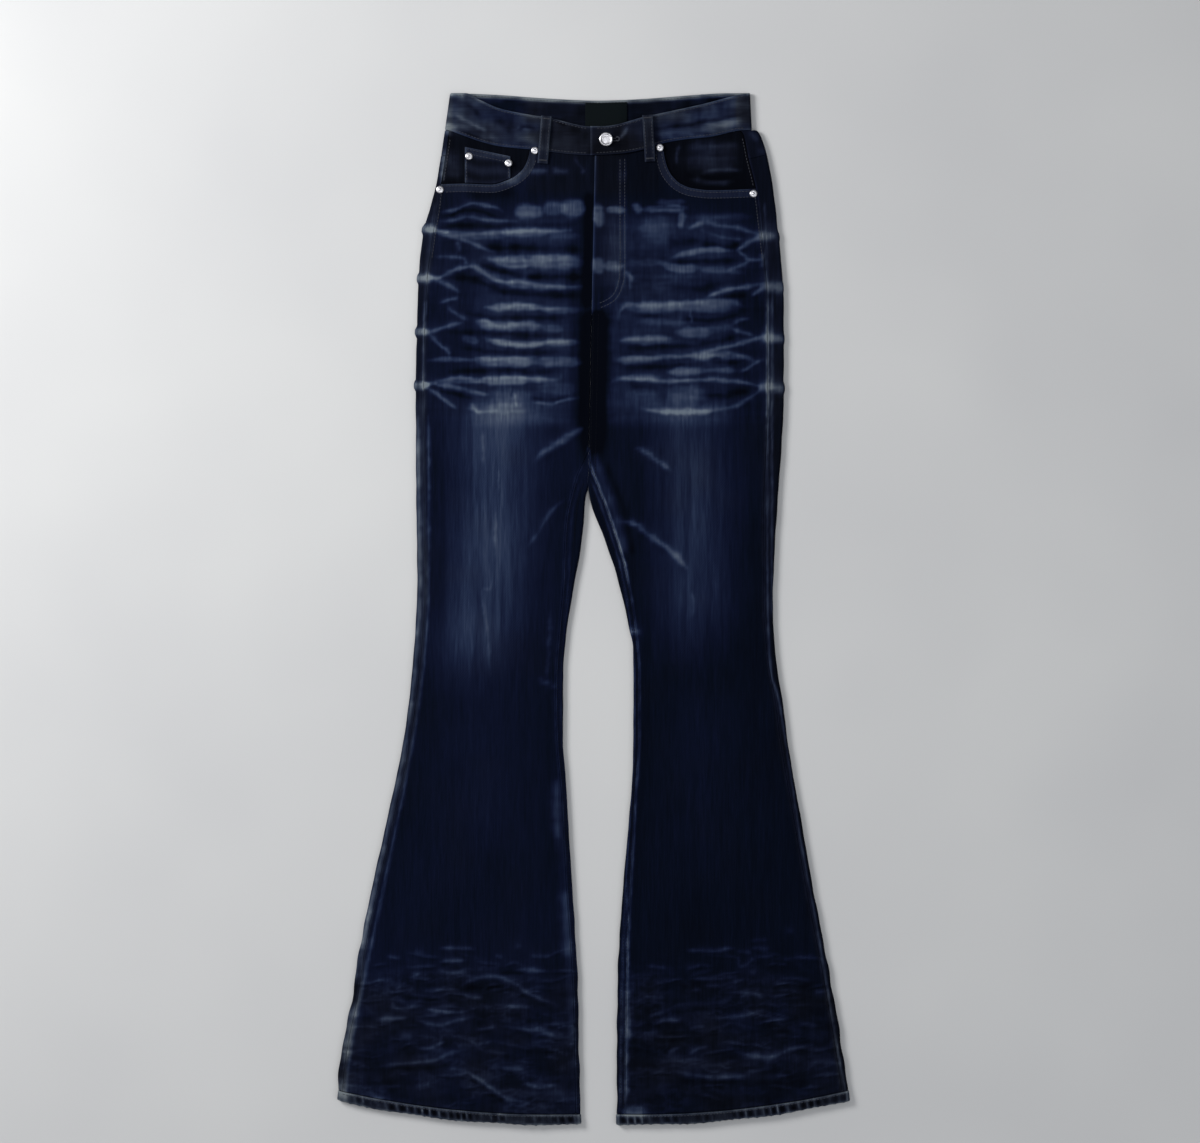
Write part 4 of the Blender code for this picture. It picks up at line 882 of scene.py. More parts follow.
def floor_lift(x, y):
    """How far the lower cloth rises over the back pockets and loops that lie under it."""
    pocket = BACK_POCKET
    lift = 0.0
    low = pocket["top"] - pocket["height"]
    for sign in (1, -1):
        over = box_lift(x, y, sign * pocket["centre"], pocket["width"] / 2, low, pocket["top"])
        lift = np.maximum(lift, POCKET_LIFT * over)
    for loop in rows_of(BACK_LOOPS):
        top = back_rim(loop["x"])
        over = box_lift(x, y, loop["x"], BACK_LOOP["width"] / 2, top - BACK_LOOP["length"], top)
        lift = np.maximum(lift, LOOP_LIFT * over)
    return lift


def rim_distance(x, y, side):
    """How far points lie from the rim of the front pocket's mouth."""
    rim_x = np.linspace(side.corner, side.outseam(YOKE_SIDE_Y), 60)
    rim_y = side.rim(rim_x)
    return np.min(np.hypot(rim_x - x[..., None], rim_y - y[..., None]), axis=-1)


def facing_depth(x, y, side):
    """How far the facing lies below the front: deepest under the pocket's mouth."""
    x, y = np.broadcast_arrays(np.asarray(x, float), np.asarray(y, float))
    outside = (y > side.rim(x)) & (side.sign * (x - side.corner) > 0)
    share = np.where(outside, smooth((rim_distance(x, y, side) - 2.0) / FACING_RISE), 0.0)
    return between(FACING_DEPTH, FACING_OPEN_DEPTH, share)


def band_z(x, over):
    """Outer face of the waistband's front, which is thickest where its ends overlap."""
    tip = LEFT.outer_curve(530) if over else RIGHT.outer_curve(530)
    toward = smooth(1 - np.abs(x) / abs(tip))
    z = EDGE_HEIGHT + BAND_UNDER_RISE * toward
    if over:
        step = 1 - smooth((x - BAND_STEP_FROM) / (BAND_STEP_TO - BAND_STEP_FROM))
        z = z + (BAND_OVER_RISE - BAND_UNDER_RISE) * step
    return z


# fade (0 is raw indigo, 1 is worn white; painted shade lowers it) and crease height, for the front and for
# the back

fade_and_shade_front = Field()
fade_and_shade_back = Field()
high_front = Field()
high_back = Field()


def mirrored(points, shift_x=0.0, shift_y=0.0):
    """Points swapped between the legs, for the garment's other face."""
    return [(2 * CENTRE_X - x + shift_x, y + shift_y) for x, y in points]


def paint_strokes(table, fade, high, raise_, seed, share=1.0, mirror=None, halo=0.0, shadow=0.0, **form):
    """Worn crests of creases, each with a soft halo and painted shade in the trough below it."""
    for i, (width, light, *flat) in enumerate(table):
        points = list(zip(flat[::2], flat[1::2]))
        points = mirrored(points, *mirror) if mirror else points
        light *= share
        fade.stroke(points, width, light, seed + i, **form)
        high.stroke(points, width * 1.25, light * raise_, seed + i)
        if light > 0 and halo:
            fade.stroke(points, width * 3.0, light * halo, seed + i + 7, taper=0.3)
        # painted shade: a darker stroke just under each crest, where its trough falls into shade
        if light > 0 and shadow:
            below = [(x, y - 1.25 * width) for x, y in points]
            fade.stroke(below, width * 1.2, -light * shadow, seed + i + 9, taper=0.3)


def worn_in(marks, seed, peak):
    """Marks as the cloth takes them: ragged, broken up by its yarns, and never whiter than the peak. Darker
    marks, painted shade among them, are only made ragged.
    """
    marks = marks.roughened(seed, 0.7)
    broken = 1 + 0.26 * noise(seed + 4, 15.0, 2.6) + 0.09 * noise(seed + 5, 1.8, 10.0)
    broken += 0.12 * noise(seed + 6, 4.0, 3.0) + 0.16 * noise(seed + 7, 34.0, 9.0)
    broken += 0.22 * noise(seed + 8, 44.0, 3.4)
    return np.where(marks > 0, peak * np.tanh(marks * broken / peak), marks)


def thigh_fade(x, y, middle, width, low, high):
    """The worn stretch down the front of a thigh; middle gives its centre line."""
    centre = Curve(middle)(y)
    across = np.exp(-np.abs((x - centre) / width) ** 2.6)
    return across * smooth((y - low) / 110.0) * smooth((high - y) / 34.0)


def seam_path(at, low, high, shift=0.0):
    y = np.arange(low, high, 8.0)
    return np.column_stack([at(y) + shift, y])


def edge_strength(x, y, margin):
    """1 at a leg's silhouette, 0 further inside than the margin."""
    value = np.zeros_like(x, float)
    for side in SIDES:
        own = side.sign * (x - centre_x(y)) > 0
        inside = np.minimum(side.sign * (side.outer_curve(y) - x), side.sign * (x - side.inner_curve(y)))
        value = np.where(own, smooth(1 - inside / margin), value)
    return value


def paint_base(fade, share):
    """The dye's own unevenness, the thighs' wear and painted shade towards the legs' edges."""
    x, y = Field.axes()
    left = x > centre_x(y)
    streaks = noise(11, 1.7, 34.0)
    bands = noise(12, 5.0, 120.0)
    clouds = noise(13, 46.0, 60.0)
    base = np.where(left, 0.1, 0.14)
    seat = smooth((y - 196.0) / 16.0) * smooth((452.0 - y) / 40.0)
    reach = np.where(left, (164 - x) / 26, (x + 146) / 34)
    middle = smooth((np.abs(x + 6) - 14) / 14) * smooth(reach)
    folds = 0.05 * noise(14, 60.0, 24.0) + 0.035 * noise(26, 52.0, 4.6) + 0.025 * noise(27, 24.0, 2.4)
    base = base + seat * (0.035 + 0.15 * middle + (0.4 + 0.6 * middle) * folds)
    worn = share * 0.28 * thigh_fade(x, y, THIGH_FADE_RIGHT, 38.0, -110.0, 244.0)
    worn += share * 0.19 * thigh_fade(x, y, THIGH_FADE_LEFT, 35.0, -90.0, 244.0)
    worn += share * 0.08 * thigh_fade(x, y, THIGH_FADE_RIGHT, 62.0, -120.0, 250.0)
    worn += share * 0.07 * thigh_fade(x, y, THIGH_FADE_LEFT, 58.0, -100.0, 250.0)
    knee = 0.05 * smooth((-60 - y) / 60) * smooth((y + 330) / 120) * np.exp(-(((np.abs(x) - 120) / 42) ** 2))
    # painted shade towards both silhouettes of each leg, where the legs round away
    dark = 0.03 * edge_strength(x, y, 34.0) * smooth((250 - y) / 60) * smooth((y + 380) / 90)
    fade.value += base + worn * (1 + 0.1 * streaks + 0.2 * bands + 0.14 * clouds) + knee - dark
    fade.value += (0.018 + 0.02 * seat) * streaks + 0.016 * bands + 0.018 * clouds
    low = smooth((-372 - y) / 45)
    lines = 0.17 * veins(15, 30.0, 7.0, 6.0) * smooth(noise(16, 44.0, 18.0) * 2.5 + 0.3)
    lines += 0.13 * veins(22, 19.0, 5.0, 5.0) * smooth(noise(23, 30.0, 22.0) * 2.5 + 0.3)
    lines *= np.where(left, 0.7, 1.0)
    fade.value += low * (lines + 0.05 * noise(24, 26.0, 9.0) + 0.03 * noise(28, 9.0, 5.0))
    broken = noise(18, 6.0, 2.6) + 0.7 * noise(19, 2.2, 7.0)
    fade.value += (0.026 * seat * middle + 0.018 * low) * broken
    on_band = smooth((y - band_seam(x)) / 2.0)
    side = smooth((np.abs(x) - 30.0) / 60.0)
    patches = 0.09 * noise(20, 13.0, 6.0) + 0.08 * noise(21, 34.0, 11.0) + 0.05 * noise(25, 4.0, 16.0)
    fade.value += on_band * (0.5 + 0.5 * side) * (patches + 0.03 * broken)


def paint_relief(high, seed):
    """Broad softness and small wrinkles of a garment that was worn, washed and laid out."""
    y = Field.axes()[1]
    low = smooth((-390 - y) / 50)
    seat = smooth((y - 190.0) / 20.0) * smooth((470.0 - y) / 30.0)
    high.value += 0.3 * noise(seed, 46.0, 95.0) + 0.12 * noise(seed + 1, 14.0, 38.0)
    high.value += low * (0.42 * noise(seed + 2, 30.0, 8.0) + 0.2 * noise(seed + 3, 12.0, 5.0))
    high.value += low * 0.5 * veins(15, 30.0, 7.0, 3.0) * smooth(noise(16, 44.0, 18.0) * 2.5)
    high.value += seat * (0.26 * noise(seed + 4, 30.0, 7.0) + 0.1 * noise(seed + 5, 11.0, 5.0))
    high.value += 0.05 * noise(seed + 6, 4.0, 9.0)


def paint_seam(fade, high, path, seed, light, raise_=0.45, width=2.0):
    """A seam's pulled-up ridge: lighter on its crest, puckered along its length."""
    fade.stroke(path, width, light, seed, taper=0.02, ragged=0.25)
    high.stroke(path, 6.0, raise_, seed, taper=0.02, ragged=0.45)


def paint_front():
    fade, high = fade_and_shade_front, high_front
    paint_base(fade, 1.0)
    paint_relief(high, 30)
    marks = Field()
    paint_strokes(WORN_BANDS, marks, high, 0.5, 100, 1.3, hard=2.2, taper=0.22, ragged=0.13)
    paint_strokes(WHISKERS, marks, high, CREASE_HEIGHT, 200, 1.15, halo=0.24, shadow=0.12)
    paint_strokes(LEG_MARKS, marks, high, 0.8, 300, halo=0.16, shadow=0.1)
    paint_strokes(HEM_CREASES, marks, high, HEM_CREASE_HEIGHT, 400, 0.72, halo=0.3, shadow=0.2)
    paint_fine_creases(marks, high, 450, 1.0)
    paint_strokes(WAIST_MARKS, marks, high, 0.9, 500, halo=0.15, shadow=0.1)
    seams = Field()
    for side, inner_light in ((RIGHT, 0.18), (LEFT, 0.4)):
        paint_seam(seams, high, seam_path(side.outseam, -555, 520), 520, 0.16)
        paint_seam(seams, high, seam_path(side.inseam, -552, 168), 521, inner_light)
        second = seam_path(side.inseam, -552, 150, -side.sign * 5.5)
        seams.stroke(second, 1.8, inner_light * 0.8, 522, taper=0.02, ragged=0.25)
    for i, (width, light, *flat) in enumerate(SEAM_LINES):
        seams.stroke(list(zip(flat[::2], flat[1::2])), width, light, 530 + i, taper=0.03, ragged=0.2)
    for i, (width, light, *flat) in enumerate(NODES):
        seams.stroke(
            list(zip(flat[::2], flat[1::2])), width, light, 560 + i, taper=0.05, ragged=0.25, hard=3
        )
    seams.stroke(seam_path(RIGHT.outer_curve, -380, 214, 2.8), 4.4, 0.46, 570, taper=0.03, ragged=0.25)
    topstitch = rounded_path(J_STITCH, 1.0)
    for shift in (0.0, 5.2):
        seams.stroke(offset_path(topstitch, shift), 1.7, 0.2, 540, taper=0.03, ragged=0.3)
    x, y = Field.axes()
    uneven = 1 + 0.22 * noise(44, 6.0, 60.0) + 0.2 * noise(45, 5.0, 11.0)
    fade.value += worn_in(marks, 70, 0.64) + seams.roughened(90, 0.3) * uneven
    strip = smooth((RIGHT.outseam(y) + 2.5 - x) / 3.0) * smooth((y + 70) / 60) * smooth((236 - y) / 14)
    fade.value += 0.12 * strip * (1 + 0.3 * noise(29, 3.0, 30.0))
    gap = x - centre_x(y)
    # painted shade in the crotch's valley, which the relief also dips
    valley = smooth((y - 150) / 60) * smooth((332 - y) / 14)
    fade.value -= 0.75 * np.exp(-(((gap - 3.5) / 11.5) ** 2)) * valley
    # painted shadow of the fly's edge, in a strip on the right front beside the centre line
    strip = smooth((y - 326) / 14) * smooth((462 - y) / 14)
    fade.value -= 0.34 * np.exp(-(((gap + 5.5) / 5.0) ** 2)) * strip
    crotch = np.exp(-((gap / 42.0) ** 2)) * smooth((y - 110) / 40) * smooth((222 - y) / 30)
    fade.value += 0.045 * crotch
    fly = smooth((gap + 1) / 3) * smooth((34 - gap) / 8) * smooth((y - 345) / 20) * smooth((505 - y) / 8)
    fade.value += 0.03 * fly
    waist = smooth((y - 446) / 10) * smooth((504 - y) / 4) * (1 - smooth((np.abs(x) - 62) / 20))
    fade.value -= 0.03 * waist


def paint_fine_creases(fade, high, seed, share):
    """Short crinkles between the larger ones round the legs' ends, each a pale worn line over a line of
    painted shade.
    """
    rng = np.random.default_rng(seed)
    for side, count in ((RIGHT, 74), (LEFT, 62)):
        for i in range(count):
            y = -378 - 168 * rng.random()
            low, high_x = sorted((side.inner_curve(y), side.outer_curve(y)))
            x = low + 8 + (high_x - low - 16) * rng.random()
            reach, slope, bow = rng.uniform(6, 22), rng.normal(0, 0.16), rng.normal(0, 1.6)
            points = [(x - reach, y - reach * slope), (x, y + bow), (x + reach, y + reach * slope)]
            light, width = share * rng.uniform(0.07, 0.2), rng.uniform(1.5, 2.4)
            fade.stroke(points, width, light, seed + i, taper=0.3)
            # painted shade under each crinkle
            fade.stroke([(a, b - 1.8) for a, b in points], width, -0.4 * light, seed + i, taper=0.3)
            high.stroke(points, width * 1.4, light * 2.4, seed + i)


def paint_back():
    """The seat and the backs of the legs: similar creases and wear, with painted shade under the creases,
    softer than in front.
    """
    fade, high = fade_and_shade_back, high_back
    paint_base(fade, 0.45)
    paint_relief(high, 60)
    marks = Field()
    paint_strokes(WORN_BANDS, marks, high, 0.7, 600, 0.3, (0.0, -205.0), hard=2)
    paint_strokes(WHISKERS, marks, high, 0.7, 650, 0.4, (0.0, -205.0), halo=0.2)
    paint_strokes(HEM_CREASES, marks, high, 1.8, 750, 0.7, (0.0, 4.0), halo=0.2, shadow=0.2)
    paint_fine_creases(marks, high, 850, 0.8)
    fade.value += worn_in(marks, 80, 0.7)
    x, y = Field.axes()
    for sign in (1, -1):
        off = np.hypot((x - sign * 84 - CENTRE_X) / 62.0, (y - 300.0) / 80.0)
        fade.value += 0.26 * smooth(1.25 - off) * (1 + 0.35 * noise(17, 1.7, 30.0))
    for side in SIDES:
        paint_seam(fade, high, seam_path(side.outer_curve, -555, 505, -side.sign * 8), 620, 0.12, 0.2)
        paint_seam(fade, high, seam_path(side.inner_curve, -552, 110, side.sign * 8), 621, 0.12, 0.2)
    paint_seam(fade, high, seam_path(centre_x, 140, 450, 3.0), 622, 0.22, 0.3)


def paint_grey():
    """Where the dye has gone grey: along the side seams, round the fly's top and in the hem's zone."""
    x, y = Field.axes()
    value = 0.12 * noise(40, 30.0, 26.0) + 0.1 * noise(41, 70.0, 90.0)
    for side in SIDES:
        value += 0.55 * smooth((side.sign * (x - side.outseam(y)) + 5.0) / 4.0)
    value += 0.32 * smooth((-380 - y) / 60) * (1 + 0.7 * noise(42, 24.0, 14.0))
    value += 0.4 * smooth((y - 452) / 12) * (1 - smooth((np.abs(x) - 66) / 16))
    fly = smooth((x - centre_x(y)) / 4) * smooth((x - 36) / -6) * smooth((y - 345) / 30)
    value += 0.3 * fly
    value += 0.5 * smooth((y - band_seam(x)) / 2) * (1 + 0.8 * noise(43, 26.0, 12.0))
    grey_dye.value = value


grey_dye = Field()
paint_front()
paint_back()
paint_grey()


def fade_and_shade_at(x, y, z):
    """Fade and painted shade at points of the cloth, from the front's or the back's field by their height.
    """
    share = smooth((z - 1.0) / (EDGE_HEIGHT - 2.5))
    return between(fade_and_shade_back.at(x, y), fade_and_shade_front.at(x, y), share)


# heights of the dressed cloth


def side_of(x, y):
    return np.where(x > centre_x(y), 1, -1)


def top_z(x, y, side):
    """Height of the upper cloth's outer face, side folds and creases included."""
    from_outer = side.sign * (side.outer(y) - x)
    from_inner = side.sign * (x - side.inner(y))
    inside = np.minimum(from_outer, from_inner)
    round_ = np.clip((FOLD_WIDTH - inside) / FOLD_WIDTH, 0.0, 1.0)
    drop = EDGE_HEIGHT / 2 * (1 - np.sqrt(1 - round_**2))
    dome = DOME * smooth((inside - FOLD_WIDTH) / DOME_REACH)
    past = np.abs(from_outer)
    creases = large_creases(x, y, side) * smooth((past - FOLD_WIDTH) / 10.0)
    detail = high_front.at(x, y) * smooth((inside - FOLD_WIDTH) / 5.0)
    return EDGE_HEIGHT + dome + creases + detail - drop


def front_z(x, y, side):
    z = top_z(x, y, side)
    return z + fly_raise(x, y) if side.sign > 0 else z


def facing_z(x, y, side):
    return top_z(x, y, side) - facing_depth(x, y, side)


def floor_z(x, y):
    """Height of the lower cloth's outer face, which only rises off the floor."""
    room = 1 - edge_strength(x, y, 9.0)
    return floor_lift(x, y) + room * np.maximum(0.6 - high_back.at(x, y), 0.0)


def band_top_z(x, y, over):
    return band_z(x, over) + 0.55 * high_front.at(x, y)


def surface_z(x, y):
    """Highest cloth at points of the front."""
    x, y = np.broadcast_arrays(np.asarray(x, float), np.asarray(y, float))
    result = np.zeros(x.shape)
    for side in SIDES:
        own = side_of(x, y) == side.sign
        on_band = y > band_seam(x)
        on_facing = ~on_band & (y > pocket_top_y(x, side))
        z = np.where(on_band, band_top_z(x, y, side.sign > 0), front_z(x, y, side))
        z = np.where(on_facing, facing_z(x, y, side), z)
        result = np.where(own, z, result)
    return result


# materials


class Shader:
    """A material's nodes, placed and linked by short calls."""

    def __init__(self, name):
        self.material = bpy.data.materials.new(name)
        self.material.use_nodes = True
        self.tree = self.material.node_tree
        self.surface = self.tree.nodes["Principled BSDF"]

    def node(self, kind, settings=None, **inputs):
        made = self.tree.nodes.new(kind)
        for key, value in (settings or {}).items():
            setattr(made, key, value)
        for key, value in inputs.items():
            self.feed(made.inputs[key.replace("_", " ")], value)
        return made

    def feed(self, socket, value):
        if isinstance(value, bpy.types.NodeSocket):
            self.tree.links.new(value, socket)
        else:
            socket.default_value = value

    def math(self, operation, a, b=0.0):
        made = self.tree.nodes.new("ShaderNodeMath")
        made.operation = operation
        self.feed(made.inputs[0], a)
        self.feed(made.inputs[1], b)
        return made.outputs[0]

    def place(self, scale):
        """Object coordinates, stretched by a scale for each axis."""
        coordinates = self.node("ShaderNodeTexCoord").outputs["Object"]
        return self.node("ShaderNodeMapping", Vector=coordinates, Scale=scale).outputs[0]

    def noise(self, scale, detail=2.0):
        made = self.node("ShaderNodeTexNoise", Vector=self.place(scale), Scale=1.0, Detail=detail)
        return made.outputs["Fac"]

    def ramp(self, value, stops, interpolation="LINEAR"):
        made = self.node("ShaderNodeValToRGB", Fac=value)
        made.color_ramp.interpolation = interpolation
        elements = made.color_ramp.elements
        while len(elements) < len(stops):
            elements.new(0.5)
        for element, (at, colour) in zip(elements, stops):
            element.position = at
            element.color = colour
        return made.outputs["Color"]


def srgb(red, green, blue):
    """A colour given in 0 to 255, as the linear value that shaders take."""
    parts = [value / 255 for value in (red, green, blue)]
    linear = [v / 12.92 if v <= 0.04045 else ((v + 0.055) / 1.055) ** 2.4 for v in parts]
    return (*linear, 1.0)


def denim(name, warp_along_y=True, brightness=1.0, weave_depth=0.00022):
    """Indigo twill: the fade attribute, painted shade included, picks the colour, and yarns, slubs and
    diagonals break it up.

    The grey attribute turns it from clear indigo to slate.
    """
    s = Shader(name)
    fade = s.node("ShaderNodeAttribute", {"attribute_name": "fade"}).outputs["Fac"]
    grey = s.node("ShaderNodeAttribute", {"attribute_name": "grey"}).outputs["Fac"]
    long, wide = (60.0, 1500.0) if warp_along_y else (1500.0, 60.0)
    yarns = s.noise((wide, long, 400.0), 3.0)
    slubs = s.noise((wide * 0.38, long * 0.5, 200.0), 2.0)
    grain = s.noise((2600.0, 2600.0, 2600.0), 1.0)
    twill = s.node(
        "ShaderNodeTexWave",
        {"wave_type": "BANDS", "bands_direction": "DIAGONAL"},
        Vector=s.place((1.0, 0.62, 0.4)),
        Scale=330.0,
        Distortion=1.4,
        Detail=1.0,
    ).outputs["Fac"]
    worn = s.math("ADD", s.math("MULTIPLY", fade, 0.5), 0.1)
    spread = s.math("MULTIPLY", s.math("SUBTRACT", yarns, 0.5), 0.8)
    spread = s.math("ADD", spread, s.math("MULTIPLY", s.math("SUBTRACT", slubs, 0.5), 0.6))
    spread = s.math("ADD", spread, s.math("MULTIPLY", s.math("SUBTRACT", grain, 0.5), 0.35))
    spread = s.math("ADD", spread, s.math("MULTIPLY", s.math("SUBTRACT", twill, 0.5), 0.22))
    value = s.math("ADD", fade, s.math("MULTIPLY", spread, worn))
    ramps = []
    for dye in (INDIGO, SLATE):
        ramps.append(s.ramp(value, [(at, srgb(*[c * brightness for c in colour])) for at, colour in dye]))
    mixed = s.node("ShaderNodeMix", {"data_type": "RGBA"})
    s.feed(mixed.inputs[0], grey)
    s.feed(mixed.inputs[6], ramps[0])
    s.feed(mixed.inputs[7], ramps[1])
    s.feed(s.surface.inputs["Base Color"], mixed.outputs[2])
    s.surface.inputs["Roughness"].default_value = 0.92
    s.surface.inputs["Specular IOR Level"].default_value = 0.04
    s.surface.inputs["Sheen Weight"].default_value = 0.012
    s.surface.inputs["Sheen Roughness"].default_value = 0.5
    s.surface.inputs["Sheen Tint"].default_value = srgb(120, 135, 190)
    height = s.math("ADD", s.math("MULTIPLY", twill, 0.55), s.math("MULTIPLY", yarns, 0.6))
    height = s.math("ADD", height, s.math("MULTIPLY", slubs, 0.5))
    bump = s.node("ShaderNodeBump", Strength=0.6, Distance=weave_depth, Height=height)
    s.feed(s.surface.inputs["Normal"], bump.outputs[0])
    return s.material


def thread_material(name, colour):
    """Spun sewing thread: plied ridges, darker where the ply lies low."""
    s = Shader(name)
    ply = s.noise((1800.0, 1800.0, 900.0), 2.0)
    dark = [c * 0.55 for c in colour]
    s.feed(s.surface.inputs["Base Color"], s.ramp(ply, [(0.3, srgb(*dark)), (0.7, srgb(*colour))]))
    s.surface.inputs["Roughness"].default_value = 0.75
    s.surface.inputs["Specular IOR Level"].default_value = 0.08
    bump = s.node("ShaderNodeBump", Strength=0.5, Distance=0.0002, Height=ply)
    s.feed(s.surface.inputs["Normal"], bump.outputs[0])
    return s.material


def metal_material(name, colour, roughness):
    """Plated, lightly tumbled metal with fine scratches and a duller bloom."""
    s = Shader(name)
    bloom = s.noise((260.0, 260.0, 260.0), 3.0)
    scratch = s.noise((1200.0, 5200.0, 1200.0), 2.0)
    dull = [c * 0.8 for c in colour]
    s.feed(s.surface.inputs["Base Color"], s.ramp(bloom, [(0.35, srgb(*dull)), (0.65, srgb(*colour))]))
    rough = s.ramp(scratch, [(0.3, (roughness,) * 3 + (1,)), (0.7, (roughness * 1.5,) * 3 + (1,))])
    s.feed(s.surface.inputs["Roughness"], rough)
    s.surface.inputs["Metallic"].default_value = 1.0
    bump = s.node("ShaderNodeBump", Strength=0.2, Distance=0.0001, Height=scratch)
    s.feed(s.surface.inputs["Normal"], bump.outputs[0])
    return s.material


def label_material():
    """A dark satin-woven patch with fine weft ribs."""
    s = Shader("label_satin")
    ribs = s.node(
        "ShaderNodeTexWave",
        {"wave_type": "BANDS", "bands_direction": "Y"},
        Vector=s.place((1.0, 1.0, 1.0)),
        Scale=520.0,
        Distortion=0.6,
    ).outputs["Fac"]
    fleck = s.noise((2400.0, 600.0, 600.0), 2.0)
    value = s.math("MULTIPLY", s.math("ADD", ribs, fleck), 0.5)
    s.feed(s.surface.inputs["Base Color"], s.ramp(value, [(0.3, srgb(3, 8, 11)), (0.75, srgb(6, 14, 18))]))
    s.surface.inputs["Roughness"].default_value = 0.7
    s.surface.inputs["Specular IOR Level"].default_value = 0.06
    bump = s.node("ShaderNodeBump", Strength=0.4, Distance=0.0001, Height=value)
    s.feed(s.surface.inputs["Normal"], bump.outputs[0])
    return s.material


# building


def outward(grid, flip):
    """Unit normals at a grid's points."""
    across = np.gradient(grid, axis=1)
    up = np.gradient(grid, axis=0)
    normal = np.cross(across, up)
    size = np.linalg.norm(normal, axis=2, keepdims=True)
    normal = np.where(size > 1e-9, normal / np.maximum(size, 1e-9), np.array([0.0, 0.0, 1.0]))
    return -normal if flip else normal


def turned_under(grid, edge, flip, depth, tuck=0.35):
    """The grid with its named edge rounded and one more line of points tucked under it."""
    axis = 0 if "row" in edge else 1
    first = "first" in edge
    normal = outward(grid, flip)
    lines = np.moveaxis(grid, axis, 0).copy()
    normals = np.moveaxis(normal, axis, 0)
    at, after = (0, 1) if first else (-1, -2)
    inwards = lines[after] - lines[at]
    inwards = inwards / np.maximum(np.linalg.norm(inwards, axis=1, keepdims=True), 1e-9)
    under = lines[at] + inwards * tuck - normals[at] * depth
    lines[at] -= normals[at] * 0.3
    lines = np.concatenate([under[None], lines] if first else [lines, under[None]])
    return np.moveaxis(lines, 0, axis)


def quads_of(rows, columns, flip, wrap_rows, wrap_columns):
    r = np.arange(rows if wrap_rows else rows - 1)[:, None]
    c = np.arange(columns if wrap_columns else columns - 1)[None, :]
    s, d = (r + 1) % rows, (c + 1) % columns
    corners = [r * columns + c, r * columns + d, s * columns + d, s * columns + c]
    if flip:
        corners.reverse()
    return np.stack([np.broadcast_to(k, (len(r), c.shape[1])) for k in corners], -1).reshape(-1, 4)


def make_mesh(name, points, faces, **attributes):
    mesh = bpy.data.meshes.new(name)
    mesh.from_pydata((points * MM).tolist(), [], faces.tolist() if hasattr(faces, "tolist") else faces)
    for key, value in attributes.items():
        values = mesh.attributes.new(key, "FLOAT", "POINT")
        values.data.foreach_set("value", np.ascontiguousarray(value, dtype=np.float32))
    mesh.shade_smooth()
    mesh.update()
    return mesh


def place_piece(name, mesh, material, stands_for=None):
    made = bpy.data.objects.new(name, mesh)
    made.data.materials.append(material)
    bpy.context.scene.collection.objects.link(made)
    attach(made, "root")
    if stands_for:
        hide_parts(stands_for)
    return made


def cloth(
    name, grid, flip, material, extra=0.0, turned=(), wrap=(False, False), gone=None, depth=1.3, grey=0.0
):
    """A thin shell of cloth through a grid of points, standing for the node of the same name."""
    extra = np.broadcast_to(np.asarray(extra, float), grid.shape[:2])
    grey = np.broadcast_to(np.asarray(grey, float), grid.shape[:2])
    for edge in turned:
        grid = turned_under(grid, edge, flip, depth)
        axis = 0 if "row" in edge else 1
        pad = [(0, 0), (0, 0)]
        pad[axis] = (1, 0) if "first" in edge else (0, 1)
        extra = np.pad(extra, pad, "edge")
        grey = np.pad(grey, pad, "edge")
        if gone is not None:
            gone = np.pad(gone, pad, "edge")
    rows, columns = grid.shape[:2]
    faces = quads_of(rows, columns, flip, *wrap)
    points = grid.reshape(-1, 3)
    # fade holds the cloth's wear together with its painted shade
    fade = fade_and_shade_at(*points.T) + extra.reshape(-1)
    grey = grey_dye.at(points[:, 0], points[:, 1]) + grey.reshape(-1)
    if gone is not None:
        faces = faces[~gone.reshape(-1)[faces].all(1)]
    used, faces = np.unique(faces, return_inverse=True)
    faces = faces.reshape(-1, 4)
    mesh = make_mesh(f"{name}_shell", points[used], faces, fade=fade[used], grey=grey[used])
    return place_piece(
        f"{name}_cloth", mesh, material, name
    )


def settle(place, height, y, count=8):
    """x and y of points whose height depends on where they are: both are worked out in turn."""
    for _ in range(count):
        x = place(y)
        y = height(x)
    return x, y


# the pieces of cloth


def front_panel(side):
    across = spaced((1.2, 0.6), (74, 1.9), (34, 1.0), (80, 1.9), (1.2, 0.6))[None, :]
    leg = spaced((1.5, 0.75), (195, 1.8), (300, 4.2), (258, 3.0), (240, 1.6))
    top = spaced((50, 1.6), (14, 1.0), (1.2, 0.6))
    up = np.concatenate([leg, 1 + top[1:]])[:, None]

    def place(y):
        edge = side.outseam(y) - side.sign * SEAM_GAP / 2
        return between(edge, front_inner_x(y, side), across)

    def height(x):
        """Rows are level across the leg, and only above it do they follow the pocket's mouth."""
        foot = hem_y(x) + HEM_HEIGHT + SEAM_GAP
        low = between(foot, HIGHEST_ROW, np.minimum(up, 1.0))
        return np.where(up > 1.0, between(HIGHEST_ROW, pocket_top_y(x, side), up - 1.0), low)

    x, y = settle(place, height, np.minimum(up, 1.0) * 995.0 - 557.0 + 0 * across)
    grid = np.stack([x, y, front_z(x, y, side)], -1)
    wear = np.zeros_like(x)
    near = y > 440
    away = rim_distance(x[near], y[near], side)
    on_rim = smooth((9.6 - away) / 1.6)
    wear[near] = 0.2 * on_rim + 0.16 * np.exp(-((away / 1.6) ** 2))
    grey = np.zeros_like(x)
    grey[near] = 0.55 * on_rim
    if side.sign > 0:
        gap = x - centre_x(y)
        fly = smooth((y - 296) / 30)
        wear = wear + 0.4 * np.exp(-((gap / 2.1) ** 2)) * fly
    turned = ("first_column", "last_column", "last_row", "first_row")
    depth = 1.8 if side.sign > 0 else 1.3
    return cloth(f"front_{side.name}", grid, side.sign > 0, DENIM, wear, turned, depth=depth, grey=grey)


